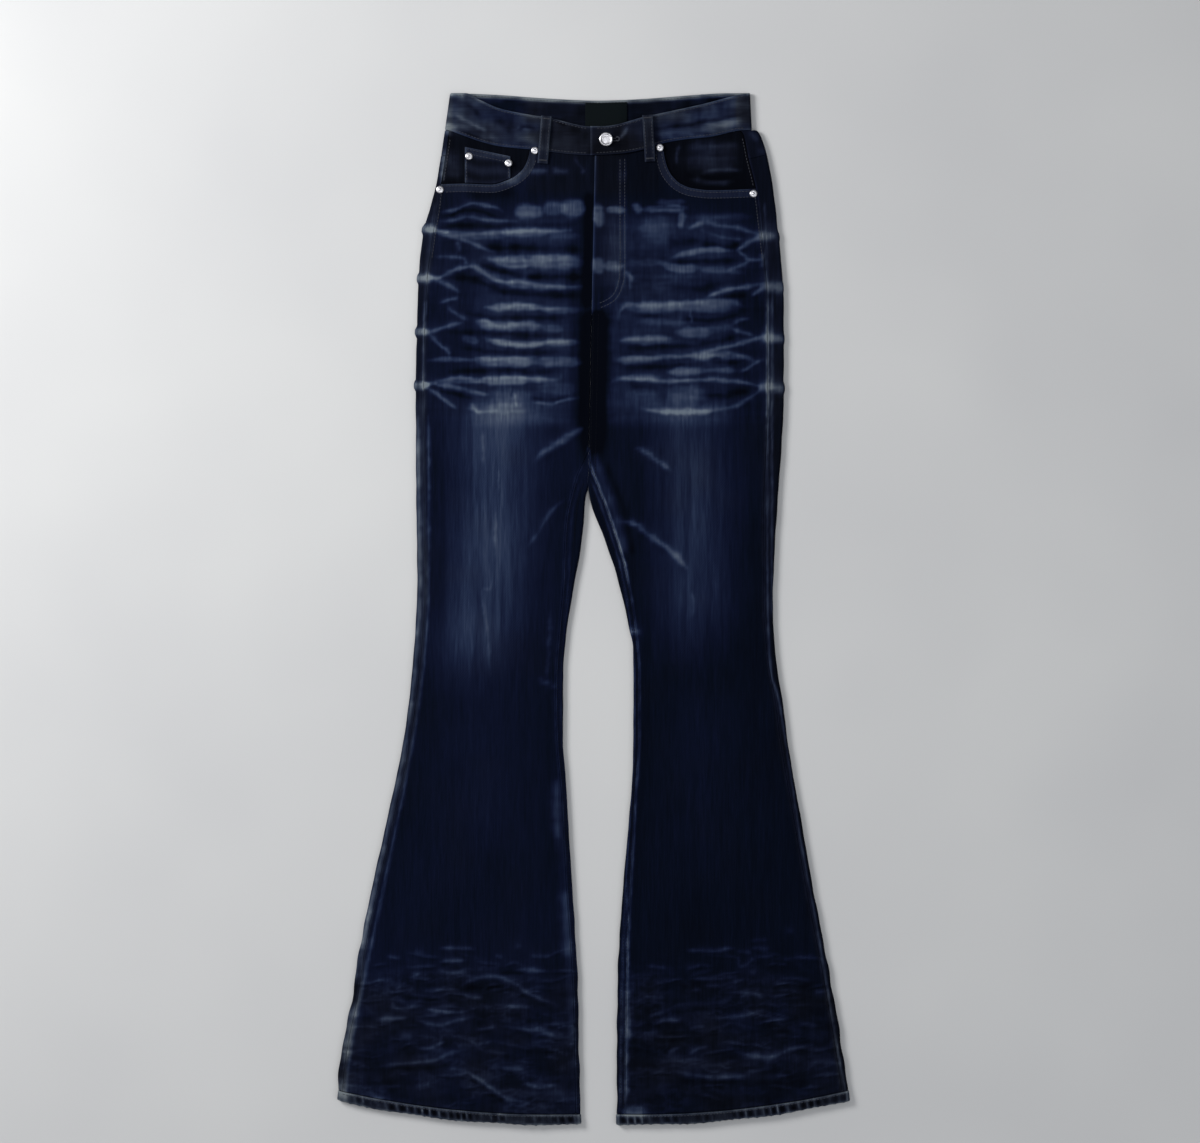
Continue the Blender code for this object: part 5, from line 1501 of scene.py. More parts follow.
class Around:
    """Columns of the lower cloth, which wraps round both folds to the seams on top."""

    def __init__(self, side, *stretches):
        self.side = side
        self.kinds = np.concatenate([[kind] * len(values) for kind, values in stretches])
        self.values = np.concatenate([values for _, values in stretches]).astype(float)

    def x(self, y):
        side, sign = self.side, self.side.sign
        inner, outer = side.inner(y), side.outer(y)
        angle = np.cos(np.radians(self.values))
        inset = FOLD_WIDTH * (1 - angle)
        low, high = inner + sign * FOLD_WIDTH, outer - sign * FOLD_WIDTH
        middle = centre_x(y) + sign * SEAM_GAP / 2
        by_kind = {
            "inseam": between(side.inseam(y) - sign * SEAM_GAP / 2, low, self.values),
            "inner": inner + sign * inset,
            "floor": between(low, high, self.values),
            "half_floor": between(middle, high, self.values),
            "outer": outer - sign * inset,
            "outseam": between(high, side.outseam(y) + sign * SEAM_GAP / 2, self.values),
        }
        x = np.select([self.kinds == kind for kind in by_kind], list(by_kind.values()))
        return np.maximum(x, middle) if sign > 0 else np.minimum(x, middle)

    def clamped(self, x, y):
        middle = centre_x(y) + self.side.sign * SEAM_GAP / 2
        return np.abs(x - middle) < 1e-6

    def z(self, x, y):
        on_top = (self.kinds == "inseam") | (self.kinds == "outseam")
        on_fold = (self.kinds == "inner") | (self.kinds == "outer")
        fold_z = EDGE_HEIGHT / 2 * (1 + np.sin(np.radians(self.values)))
        return np.where(on_top, top_z(x, y, self.side), np.where(on_fold, fold_z, floor_z(x, y)))

    def under(self):
        """0 for columns on top, 1 for those on the floor, and between them round the outer fold."""
        turn = (90 - self.values) / 180
        flat = np.where(self.kinds == "outseam", 0.0, 1.0)
        return np.where(self.kinds == "outer", turn, flat)


FOLD_ANGLES = np.linspace(90, -90, 11)


def back_panel(side):
    around = Around(
        side,
        ("inseam", spaced((0.8, 0.4), (10, 1.1))[:-1]),
        ("inner", FOLD_ANGLES),
        ("floor", np.linspace(0, 1, 104)[1:-1]),
        ("outer", FOLD_ANGLES[::-1]),
        ("outseam", spaced((14, 1.5), (0.8, 0.4))[1:]),
    )
    up = spaced((1.2, 0.6), (195, 2.3), (300, 5.0), (262, 4.0), (240, 2.4), (1.2, 0.6))[:, None]

    def height(x):
        return between(hem_y(x) + HEM_HEIGHT + SEAM_GAP, yoke_y(x, side) - SEAM_GAP / 2, up)

    x, y = settle(around.x, height, up * 1030.0 - 557.0 + 0 * around.values)
    grid = np.stack([x, y, around.z(x, y)], -1)
    turned = ("first_column", "last_column", "last_row", "first_row")
    gone = around.clamped(x, y)
    return cloth(f"back_{side.name}", grid, side.sign > 0, DENIM, 0.0, turned, gone=gone)


def yoke(side):
    around = Around(
        side,
        ("half_floor", np.linspace(0, 1, 92)[:-1]),
        ("outer", FOLD_ANGLES[::-1]),
        ("outseam", spaced((14, 1.5), (0.8, 0.4))[1:]),
    )
    up = spaced((0.8, 0.4), (56, 2.2), (0.8, 0.4))[:, None]

    def height(x):
        seam = between(band_seam(x), back_band_seam(x), around.under())
        return between(yoke_y(x, side) + SEAM_GAP / 2, seam - SEAM_GAP, up)

    x, y = settle(around.x, height, YOKE_SIDE_Y + 0 * up + 0 * around.values)
    grid = np.stack([x, y, around.z(x, y)], -1)
    turned = ("first_column", "last_column", "first_row", "last_row")
    return cloth(f"yoke_{side.name}", grid, side.sign > 0, DENIM, 0.02, turned)


def facing(side):
    share = np.linspace(0, 1, 80)[None, :]
    up = np.linspace(0, 1, 44)[:, None]
    turn = side.corner + side.sign * 12.0
    end = side.corner - side.sign * FACING_UNDERLAP

    def place(y):
        return between(side.outseam(y) - side.sign * SEAM_GAP / 2, end, share)

    def height(x):
        rim_at = np.where(side.sign * (x - turn) > 0, x, turn)
        return between(side.rim(rim_at) - FACING_UNDERLAP, band_seam(x) - SEAM_GAP, up)

    x, y = settle(place, height, HIGHEST_ROW + 50 + 0 * up + 0 * share)
    grid = np.stack([x, y, facing_z(x, y, side)], -1)
    shade = -0.09 - 0.05 * np.exp(-np.abs(y - side.rim(x)) / 5.0)
    name = f"pocket_facing_{side.name}"
    return cloth(name, grid, side.sign > 0, FACING_DENIM_SHADED, shade, ("first_column",), grey=0.6)


def coin_pocket():
    spec = COIN_POCKET
    across = spaced((0.8, 0.4), (48, 1.2), (0.8, 0.4))[None, :]
    up = spaced((0.8, 0.4), (32, 1.2), (0.8, 0.4))[:, None]
    x = between(spec["outer_x"], spec["inner_x"], across) + 0 * up
    top = between(spec["outer_y"], spec["inner_y"], across)
    y = between(RIGHT.rim(x) + spec["clear"], top, up)
    swell = 0.35 * np.sin(np.pi * across) * np.sin(np.pi * up)
    grid = np.stack([x, y, facing_z(x, y, RIGHT) + SEAM_GAP + spec["thick"] + swell], -1)
    rim = np.minimum(np.minimum(top - y, x - spec["outer_x"]), spec["inner_x"] - x)
    fold = 0.1 * smooth((11 - (top - y)) / 5.0) + 0.08 * np.sin((top - y) / 2.6 + np.sin(x / 9.0))
    wear = 0.05 + fold + 0.26 * np.exp(-((rim / 1.8) ** 2))
    turned = ("first_column", "last_column", "last_row", "first_row")
    return cloth("coin_pocket", grid, False, DENIM, wear, turned, grey=0.6)


def inwards(points, low, high, depth):
    """Points of a flattened tube moved towards its middle by a depth."""
    reach = EDGE_HEIGHT / 2
    middle_x = np.clip(points[..., 0], low + reach, high - reach)
    middle = np.stack([middle_x, points[..., 1], np.full_like(middle_x, reach)], -1)
    return between(points, middle, depth[..., None] / reach)


def hem_twist(x, y):
    """The roping of a chain-stitched hem: narrow slanting ridges at uneven places, from -1 to 1."""
    run = x + 0.15 * (y - hem_y(x)) + 3.0 * np.sin(x / 23.0) + 1.6 * np.sin(x / 7.7)
    return 1 - 2 * np.abs(np.cos(np.pi * run / 8.8)) ** 0.5


def hem_top_z(x, y, side):
    """Outer face of the hem on the garment's front."""
    share = np.clip((y - hem_y(x)) / (HEM_HEIGHT - SEAM_GAP), 0, 1)
    rope = 0.55 * np.sin(np.pi * share) * hem_twist(x, y)
    return top_z(x, y, side) * (1 + HEM_PROUD / EDGE_HEIGHT) + rope


def hem(side):
    """The turned hem all round a leg's end: doubled, roped by its chain stitch, rounded at its foot."""
    proud = HEM_PROUD
    angles = np.linspace(90, -90, 9)
    floor = np.linspace(0, 1, 130)[1:-1]
    kinds = np.concatenate([["inner"] * 9, ["floor"] * len(floor), ["outer"] * 9, ["top"] * len(floor)])
    values = np.concatenate([angles, floor, angles[::-1], floor[::-1]])
    up = np.array([0.5, 0.97, 1.0, 0.98, 0.93, 0.82, 0.7, 0.58, 0.46, 0.34, 0.22, 0.12, 0.05, 0.015, 0.0])
    depth = np.array([HEM_CLOTH, 1.5, 0.8, 0.25, 0, 0, 0, 0, 0, 0, 0, 0.04, 0.3, 0.8, 1.2])
    inner_up = np.array([0.03, 0.12, 0.4])
    up = np.concatenate([up, inner_up])[:, None]
    depth = np.concatenate([depth, [1.9, HEM_CLOTH, HEM_CLOTH]])[:, None]
    rope = {}

    def place(y):
        inner = side.inner(y) - side.sign * proud
        outer = side.outer(y) + side.sign * proud
        inset = FOLD_WIDTH * (1 - np.cos(np.radians(values)))
        flat = between(inner + side.sign * FOLD_WIDTH, outer - side.sign * FOLD_WIDTH, values)
        rope["low"], rope["high"] = np.minimum(inner, outer), np.maximum(inner, outer)
        x = np.where(kinds == "inner", inner + side.sign * inset, flat)
        return np.where(kinds == "outer", outer - side.sign * inset, x)

    def height(x):
        wobble = np.clip(1 - 1.4 * up, 0, 1) * (0.55 * hem_twist(x, HEM_LOW_Y) + 0.6 * np.sin(x / 14.0))
        return hem_y(x) + (HEM_HEIGHT - SEAM_GAP) * up - wobble

    x, y = settle(place, height, HEM_LOW_Y + 0 * up + 0 * values)
    fold_z = EDGE_HEIGHT / 2 * (1 + np.sin(np.radians(values)))
    z = np.where(kinds == "floor", 0.0, np.where(kinds == "top", top_z(x, y, side), fold_z))
    z = z * (1 + proud / EDGE_HEIGHT)
    grid = np.stack([x, y, z], -1)
    twist = hem_twist(x, y)
    flat = (kinds == "floor") | (kinds == "top")
    band = np.sin(np.pi * np.clip(up, 0, 1)) * flat
    grid[..., 2] += np.where(kinds == "floor", 0.22 * band * np.maximum(twist, 0), 0.55 * band * twist)
    grid = inwards(grid, rope["low"], rope["high"], np.broadcast_to(depth, x.shape))
    foot = np.exp(-(((up - 0.04) / 0.11) ** 2))
    ridge = np.exp(-(((up - 0.93) / 0.11) ** 2))
    sides = ((kinds == "inner") | (kinds == "outer")) * 0.2
    patchy = 0.6 + 0.4 * np.sin(x / 31.0 + 1.0) + 0.25 * np.sin(x / 6.1)
    broken = 0.75 + 0.3 * np.sin(x / 5.3 + 2.0 * np.sin(x / 19.0)) + 0.2 * np.sin(x / 2.4)
    wear = 0.19 + 0.46 * foot * broken + 0.32 * ridge * (0.5 + 0.5 * broken) + 0.5 * band * twist * patchy
    wear = wear + 0.12 * (patchy - 0.6) + sides + (0.05 if side.sign > 0 else 0.0)
    return cloth(f"hem_{side.name}", grid, side.sign > 0, DENIM, wear, wrap=(False, True), grey=0.7)


def band_tip(sign, v):
    """Silhouette of the waistband's side at a share v of its height from the rim down."""
    return between(172.4, 174.4, v) if sign > 0 else between(-158.0, -163.7, v)


def band_point(sign, kind, value, v):
    """A point of the waistband's outer face."""
    right, left = band_tip(-1, v), band_tip(1, v)
    if kind == "back":
        x = between(right + FOLD_WIDTH, left - FOLD_WIDTH, value)
        y = between(back_rim(x), back_band_seam(x), v)
        return x, y, floor_lift(x, y)
    if kind == "front":
        start = BAND_OVER_END if sign > 0 else BAND_UNDER_END
        x = between(start, band_tip(sign, v) - sign * FOLD_WIDTH, value)
        y = between(front_rim(x), band_seam(x), v)
        ease = smooth(np.abs(band_tip(sign, v) - x) / 12.0 - 0.2)
        pucker = 0.3 * np.sin(x / 1.9 + 2.0 * np.sin(x / 17.0)) * smooth((v - 0.7) / 0.25)
        z = band_z(x, sign > 0) + ease * (0.6 * high_front.at(x, y) + 0.4 * pucker)
        return x, y, z
    turn = np.radians(value)
    tip = band_tip(sign, v)
    x = tip - sign * FOLD_WIDTH * (1 - np.cos(turn))
    z = EDGE_HEIGHT / 2 * (1 + np.sin(turn))
    top = between(front_rim(x), band_seam(x), v)
    low = between(back_rim(x), back_band_seam(x), v)
    return x, between(top, low, (90 - value) / 180), z


def waistband():
    """Doubled cloth with both faces, open at the centre front, where its left end lies on top."""
    front = [("front", t) for t in spaced((1.0, 0.5), (168, 1.6))[:-1]]
    turn = [("turn", angle) for angle in FOLD_ANGLES]
    back = [("back", t) for t in np.linspace(0, 1, 150)[1:-1]]
    stations = [(-1, *code) for code in front + turn] + [(0, *code) for code in back]
    stations += [(1, *code) for code in turn[::-1] + front[::-1]]
    outer_v = [0.0, 0.012, 0.035, *np.linspace(0.08, 0.92, 18), 0.965, 0.988, 1.0]
    outer_d = [1.2, 0.3, 0.05, *[0.0] * 18, 0.05, 0.3, 1.2]
    inner_v = [0.98, *np.linspace(0.93, 0.2, 6), 0.14, 0.11, 0.08, 0.05, 0.02]
    inner_d = [2.1, *[2.4] * 10, 2.1]
    v = np.array(outer_v + inner_v)[:, None]
    depth = np.array(outer_d + inner_d)[:, None]
    columns = [np.stack(np.broadcast_arrays(*band_point(*s, v[:, 0])), -1) for s in stations]
    ends = []
    for at, beyond in ((0, 1), (-1, -1)):
        end = columns[at].copy()
        end[:, 0] += 0.5 * beyond
        ends.append(end)
    grid = np.stack([ends[0], *columns, ends[1]], axis=1)
    low = np.minimum(band_tip(-1, v), band_tip(1, v))
    high = np.maximum(band_tip(-1, v), band_tip(1, v))
    depths = np.broadcast_to(depth, grid.shape[:2]).copy()
    depths[:, 0] = depths[:, -1] = 1.2
    codes = ["cap", *[s[1] for s in stations], "cap"]
    front_like = np.array([code in ("front", "cap") for code in codes])
    pushed = inwards(grid, low, high, np.minimum(depths, 2.6))
    pushed[:, front_like] = grid[:, front_like] - depths[:, front_like, None] * np.array([0.0, 0.0, 1.0])
    x, y = grid[..., 0], grid[..., 1]
    worn_rim = 0.4 + 0.06 * np.sin(x / 7.0) + 0.06 * np.sin(x / 2.9 + 1.0)
    worn_rim = np.where(front_like, worn_rim, 0.8)
    edges = worn_rim * np.exp(-((v / 0.05) ** 2)) + 0.16 * np.exp(-(((1 - v) / 0.05) ** 2))
    end_wear = 0.2 * np.exp(-(((x - BAND_OVER_END) / 1.5) ** 2)) * (np.arange(len(codes)) > len(codes) / 2)
    mottle = 0.04 + 0.18 * np.interp(np.abs(x), [0, 60, 160], [0.0, 0.5, 1.0])
    is_inner = (np.arange(len(v)) >= len(outer_v))[:, None]
    rolled = 0.8 * np.exp(-((v / 0.105) ** 4)) * (1 + 0.12 * np.sin(x / 4.1) + 0.1 * np.sin(x / 11.0))
    wear = np.where(is_inner, rolled - 0.03, edges + end_wear + mottle) + 0 * y
    grey = np.where(is_inner, 1.1 * rolled - 0.35, 0.0)
    return cloth("waistband", pushed, False, BAND_DENIM, wear, wrap=(True, False), grey=grey)


def back_pocket(side):
    """A patch pocket under the seat: turned edges all round and a shallow point."""
    spec = BACK_POCKET
    half = spec["width"] / 2
    low = spec["top"] - spec["height"]
    across = spaced((1.0, 0.5), (130, 2.0), (1.0, 0.5))[None, :] * 2 - 1
    down = spaced((1.0, 0.5), (146, 2.4), (1.0, 0.5))[:, None]
    foot = low + spec["point"] * np.abs(across)
    y = between(spec["top"], foot, down)
    x = half * across * (1 - 0.07 * down)
    rim = np.minimum(half * (1 - np.abs(across)), np.minimum(down, 1 - down) * spec["height"])
    hollow = 0.35 * smooth(rim / 22.0) * (0.6 + 0.4 * np.sin(x / 19.0 + y / 33.0))
    x = x + side.sign * spec["centre"]
    z = np.maximum(hollow + 0.12 * high_back.at(x, y), 0.0)
    wear = 0.06 + 0.24 * np.exp(-((rim / 2.2) ** 2)) + 0.1 * np.exp(-(((rim - 9) / 3.0) ** 2))
    turned = ("first_column", "last_column", "first_row", "last_row")
    grid = np.stack([x, y, z], -1)
    return cloth(f"back_pocket_{side.name}", grid, False, DENIM, wear, turned, depth=1.7)


def tape(name, path, width, thick, z_at, fade, up=1):
    """A folded strip with both faces and closed ends along a path of (x, y)."""
    along = np.gradient(path, axis=0)
    along /= np.linalg.norm(along, axis=1, keepdims=True)
    beside = np.column_stack([along[:, 1], -along[:, 0]])
    outer = [(-0.5, -0.55), (-0.49, -0.12), (-0.44, 0.06), (-0.3, -0.04), (-0.12, -0.1), (0.0, -0.1)]
    ring = outer + [(-a, b) for a, b in outer[-2::-1]]
    ring += [(0.47, -0.95), (0.2, -1.0), (-0.2, -1.0), (-0.47, -0.95)]
    lines = []
    for a, b in ring:
        at = path + beside * a * width
        lines.append(np.column_stack([at, z_at + up * b * thick]))
    grid = np.stack(lines, axis=1)
    inset = 0.97  # size of the closing rings against the tape's own
    caps = [end.mean(0) + inset * (end - end.mean(0)) for end in (grid[0], grid[-1])]
    for cap in caps:
        cap[:, 2] = cap[:, 2].mean()
    grid = np.concatenate([caps[0][None], grid, caps[1][None]])
    wear = np.array([0.2, 0.24, 0.24, 0.1, 0.03, 0.0, 0.03, 0.1, 0.24, 0.24, 0.2, 0, 0, 0, 0])
    fade = fade + wear[None, :] + 0 * grid[..., 0]
    return cloth(name, grid, up < 0, DENIM, fade, wrap=(False, True), grey=0.5)


def front_loop(row):
    """A belt loop tacked at its ends and bowed over the waistband between them."""
    share = spaced((1.2, 0.6), (50, 1.8), (1.2, 0.6))
    path = np.column_stack(
        [between(row["top_x"], row["low_x"], share), between(row["top_y"], row["low_y"], share)]
    )
    over = row["top_x"] > 0
    base = np.full(len(share), -1e9)
    for dx in (-LOOP["width"] / 2, 0, LOOP["width"] / 2):
        for dy in (-3, 0, 3):
            base = np.maximum(base, surface_z(path[:, 0] + dx, path[:, 1] + dy))
    seam_share = (row["top_y"] - band_seam(row["top_x"])) / (row["top_y"] - row["low_y"])
    base = np.where(share < seam_share, np.maximum(base, band_z(path[:, 0], over)), base)
    lift = LOOP["bow"] * smooth(share / 0.2) * smooth((1 - share) / 0.2)
    kernel = np.hanning(7) / np.hanning(7).sum()
    base = np.convolve(np.pad(base, 3, "edge"), kernel, "valid")
    z = base + SEAM_GAP + lift + LOOP["thick"]
    return tape(row["name"], path, LOOP["width"], LOOP["thick"], z, 0.1), path, z


def back_loop(row):
    top = back_rim(row["x"])
    y = np.linspace(top, top - BACK_LOOP["length"], 30)
    path = np.column_stack([np.full_like(y, row["x"]), y])
    z = np.zeros_like(y) + 0.07
    return tape(row["name"], path, BACK_LOOP["width"], BACK_LOOP["thick"], z, 0.08, up=-1), path, z


def label():
    spec = LABEL
    across = spaced((0.6, 0.3), (45, 1.0), (0.6, 0.3))[None, :]
    up = spaced((0.6, 0.3), (25, 1.0), (0.6, 0.3))[:, None]
    x = spec["x"] + spec["width"] * (across - 0.5) + 0 * up
    y = back_rim(x) - 3.0 - spec["height"] * (1 - up)
    floor = np.maximum(np.maximum(floor_lift(x - 6, y), floor_lift(x + 6, y)), floor_lift(x, y))
    swell = 0.2 * np.sin(np.pi * across) * np.sin(np.pi * up)
    grid = np.stack([x, y, floor + BAND + SEAM_GAP + spec["thick"] + swell], -1)
    for edge in ("first_column", "last_column", "first_row", "last_row"):
        grid = turned_under(grid, edge, False, 0.5, 0.2)
    rows, columns = grid.shape[:2]
    faces = quads_of(rows, columns, False, False, False)
    mesh = make_mesh("inside_label_shell", grid.reshape(-1, 3), faces)
    return place_piece("inside_label_cloth", mesh, label_material(), "inside_label")


# fittings


def spun(profile, segments=48):
    """Points and faces of a round piece from a profile of (radius, height) that runs down its outside."""
    angle = np.linspace(0, 2 * np.pi, segments, endpoint=False)
    radius, height = np.array(profile, float).T
    ring = np.stack(
        [
            radius[:, None] * np.cos(angle),
            radius[:, None] * np.sin(angle),
            np.broadcast_to(height[:, None], (len(radius), segments)),
        ],
        -1,
    )
    points = ring.reshape(-1, 3)
    faces = quads_of(len(radius), segments, True, False, True).tolist()
    last = (len(radius) - 1) * segments
    faces.append(list(range(segments)))
    faces.append([last + i for i in range(segments)][::-1])
    return points, faces


def fitting(node, profile, material):
    """A round metal piece that stands where its node stands."""
    low, high = (np.array(corner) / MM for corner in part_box(node))
    points, faces = spun(profile)
    points = points + [(low[0] + high[0]) / 2, (low[1] + high[1]) / 2, low[2]]
    mesh = make_mesh(f"{node}_turned", points, faces)
    mesh.set_sharp_from_angle(angle=math.radians(40))
    return place_piece(f"{node}_metal", mesh, material, node)


BUTTON_PROFILE = [
    (0.3, 2.45), (2.2, 2.5), (3.6, 2.42), (4.6, 2.3), (5.0, 2.42), (5.35, 2.7), (5.8, 2.9), (6.4, 2.95),
    (7.0, 2.8), (7.35, 2.45), (7.5, 1.95), (7.4, 1.5), (6.9, 1.2), (6.0, 1.05), (3.9, 0.95),
    (3.75, 0.5), (3.75, 0.0),
]
RIVET_PROFILE = [
    (0.25, 1.3), (0.9, 1.28), (1.35, 1.12), (1.55, 0.92), (1.8, 0.84), (2.2, 0.9), (2.9, 0.86), (3.5, 0.7),
    (3.95, 0.45), (4.1, 0.2), (4.0, 0.0),
]


# sewing


def sewn(
    name, paths, height, material, pitch=STITCH + STITCH_GAP, radius=THREAD, up=1, rides=0.16
):
    """Rows of short arched stitches along paths of (x, y), laid on the cloth's height(x, y)."""
    starts, ends = [], []
    for path in paths:
        path = resampled(np.array(path, float), 0.5)
        run = np.concatenate([[0.0], np.cumsum(np.hypot(*np.diff(path, axis=0).T))])
        count = int(run[-1] // pitch)
        if count < 1:
            continue
        begin = np.arange(count) * pitch + (run[-1] - count * pitch) / 2
        for at, out in ((begin, starts), (begin + pitch * STITCH / (STITCH + STITCH_GAP), ends)):
            out.append(np.column_stack([np.interp(at, run, path[:, 0]), np.interp(at, run, path[:, 1])]))
    start, end = np.concatenate(starts), np.concatenate(ends)
    along = end - start
    length = np.linalg.norm(along, axis=1, keepdims=True)
    along = along / length
    beside = np.column_stack([-along[:, 1], along[:, 0]])
    rings = []
    for t, size in ((0.0, 0.0), (0.1, 0.72), (0.5, 1.0), (0.9, 0.72), (1.0, 0.0)):
        middle = start + along * length * t
        z = height(middle[:, 0], middle[:, 1]) + up * (
            rides * (4 * t * (1 - t)) ** 0.6 - 0.22 + radius * 0.5
        )
        if size == 0.0:
            rings.append([np.column_stack([middle, z - up * 0.12])])
            continue
        corners = []
        for a, b in ((1, 0), (0, 1), (-1, 0), (0, -1)):
            spot = middle + beside * a * radius * size
            corners.append(np.column_stack([spot, z + up * b * radius * size]))
        rings.append(corners)
    points = np.stack([corner for ring in rings for corner in ring], axis=1)
    faces = [[0, 1 + k, 1 + (k + 1) % 4] for k in range(4)]
    quads = []
    for ring in (0, 1):
        first = 1 + 4 * ring
        quads += [[first + k, first + 4 + k, first + 4 + (k + 1) % 4, first + (k + 1) % 4] for k in range(4)]
    faces_end = [[9 + k, 13, 9 + (k + 1) % 4] for k in range(4)]
    count = len(start)
    steps = (np.arange(count) * 14)[:, None, None]
    triangles = (np.array(faces + faces_end)[None] + steps).reshape(-1, 3).tolist()
    quads = (np.array(quads)[None] + steps).reshape(-1, 4).tolist()
    mesh = make_mesh(name, points.reshape(-1, 3), triangles + quads)
    return place_piece(name, mesh, material)


def tack(middle, along, width, length=2.6, spacing=0.75):
    """Short side-by-side threads over a width: a bar tack. along is the direction of each thread."""
    along = np.array(along, float) / np.hypot(*along)
    beside = np.array([-along[1], along[0]])
    places = np.arange(-width / 2, width / 2 + 0.01, spacing)
    return [
        np.array([middle + beside * p - along * length / 2, middle + beside * p + along * length / 2])
        for p in places
    ]


def line(x, y):
    return np.column_stack(np.broadcast_arrays(np.asarray(x, float), np.asarray(y, float)))


def hem_height(side):
    def height(x, y):
        return hem_top_z(x, y, side) + 0.1

    return height


def sew_front(side):
    sign = side.sign
    end = side.outseam(465) - sign * 3.5
    x = np.linspace(side.corner, end, 60)
    mouth = line(x, side.rim(x))
    y = np.arange(386.0, side.rim(end), 4.0)
    paths = [offset_path(mouth, -sign * 2.4)[1:], offset_path(mouth, -sign * 8.8)[1:]]
    paths.append(line(side.outseam(y) - sign * 2.4, y))
    if sign > 0:
        inner = rounded_path(J_STITCH, 1.0)
        paths += [inner, offset_path(inner, 5.2)]
    made = [sewn(f"thread_front_{side.name}", paths, lambda x, y: front_z(x, y, side), TAN)]
    if sign > 0:
        y = np.arange(146.0, 330.0, 4.0)
        dark = [line(centre_x(y) + d, y) for d in (2.4, 7.6)]
        dark += tack(np.array([4.5, 336.0]), (0, 1), 7.0)
        made.append(sewn("thread_rise_left", dark, lambda x, y: front_z(x, y, side), NAVY))
    return made


def sew_facing(side):
    sign = side.sign
    y = np.arange(side.rim(side.outseam(480)) + 3.0, 521.0, 3.0)
    path = line(side.outseam(y) - sign * 2.4, y)
    return [sewn(f"thread_facing_{side.name}", [path], lambda x, y: facing_z(x, y, side), TAN)]


def sew_back(side):
    """The felled inseam's two rows on top, and underneath the centre seam's."""
    sign = side.sign
    y = np.arange(-550.0, 146.0, 6.0)
    strip = np.abs(side.inseam(y) - side.inner_curve(y))
    rows = [line(side.inseam(y) - sign * 1.7, y), line(side.inseam(y) - sign * (0.35 + 0.52 * strip), y)]
    made = [sewn(f"thread_inseam_{side.name}", rows, lambda x, y: top_z(x, y, side), NAVY)]
    if sign > 0:
        y = np.arange(140.0, 450.0, 6.0)
        rows = [line(centre_x(y) + d, y) for d in (2.6, 8.0)]
        made.append(sewn("thread_seat_seam", rows, floor_z, TAN, up=-1))
    return made


def sew_yoke(side):
    sign = side.sign
    x = between(centre_x(460) + sign * 2.0, side.outer(490) - sign * 6.0, np.linspace(0, 1, 40))
    rows = [line(x, yoke_y(x, side) + d) for d in (2.6, 8.0)]
    return [sewn(f"thread_yoke_{side.name}", rows, floor_z, TAN, up=-1)]


def sew_band():
    rows = []
    for low, high in ((BAND_OVER_END + 2.4, 166.0), (-153.0, BAND_OVER_END - 3.0)):
        x = np.linspace(low, high, 80)
        rows += [line(x, front_rim(x) - 2.6), line(x, band_seam(x) + 2.6)]
    y = np.linspace(502.5, 528.0, 12)
    rows.append(line(BAND_OVER_END + 2.4, y))
    top = sewn("thread_band_front", rows, surface_z, TAN)
    x = np.linspace(-150.0, 164.0, 90)
    under = [line(x, back_rim(x) - 2.6), line(x, back_band_seam(x) + 2.6)]
    low = sewn("thread_band_back", under, floor_lift, TAN, up=-1)
    inside = [line(x, back_rim(x) - 2.6)]
    rim = sewn("thread_band_inside", inside, lambda x, y: floor_lift(x, y) + BAND, TAN)
    hole = []
    slit, eye = (BUTTON["x"] - 6.0, BUTTON["y"]), (BUTTON["x"] + 12.6, BUTTON["y"] + 0.8)
    for x in np.arange(slit[0], eye[0] - 2.0, 0.72):
        for way in (1, -1):
            foot = BUTTON["y"] + way * 0.5
            hole.append([(x, foot), (x, foot + way * 2.3)])
    for angle in np.radians(np.arange(-130, 131, 16)):
        ray = np.array([math.cos(angle), math.sin(angle)])
        hole.append([np.array(eye) + ray * 1.3, np.array(eye) + ray * 3.5])
    hole = sewn("thread_buttonhole", hole, surface_z, TAN, pitch=2.1)
    return [top, low, rim, hole]


def sew_coin():
    spec = COIN_POCKET
    x = np.linspace(spec["outer_x"] + 2.0, spec["inner_x"] - 2.0, 30)
    share = (x - spec["outer_x"]) / (spec["inner_x"] - spec["outer_x"])
    top = between(spec["outer_y"], spec["inner_y"], share)
    rows = [line(x, top - 2.2), line(x, top - 7.0)]
    for at, top_y in ((spec["outer_x"] + 2.0, spec["outer_y"]), (spec["inner_x"] - 2.0, spec["inner_y"])):
        rows.append(line(at, np.arange(RIGHT.rim(at) + 2.0, top_y - 2.0, 2.0)))

    def height(x, y):
        return facing_z(x, y, RIGHT) + SEAM_GAP + spec["thick"] + 0.15

    return [sewn("thread_coin_pocket", rows, height, TAN)]


def sew_hem(side):
    x = np.linspace(side.inner(-560) + side.sign * 4, side.outer(-548) - side.sign * 4, 120)
    y = hem_y(x) + HEM_HEIGHT - 2.6
    top = sewn(f"thread_hem_{side.name}", [line(x, y)], hem_height(side), TAN)
    low = sewn(
        f"thread_hem_under_{side.name}", [line(x, y)], lambda x, y: np.zeros_like(x) + 0.12, TAN, up=-1
    )
    return [top, low]


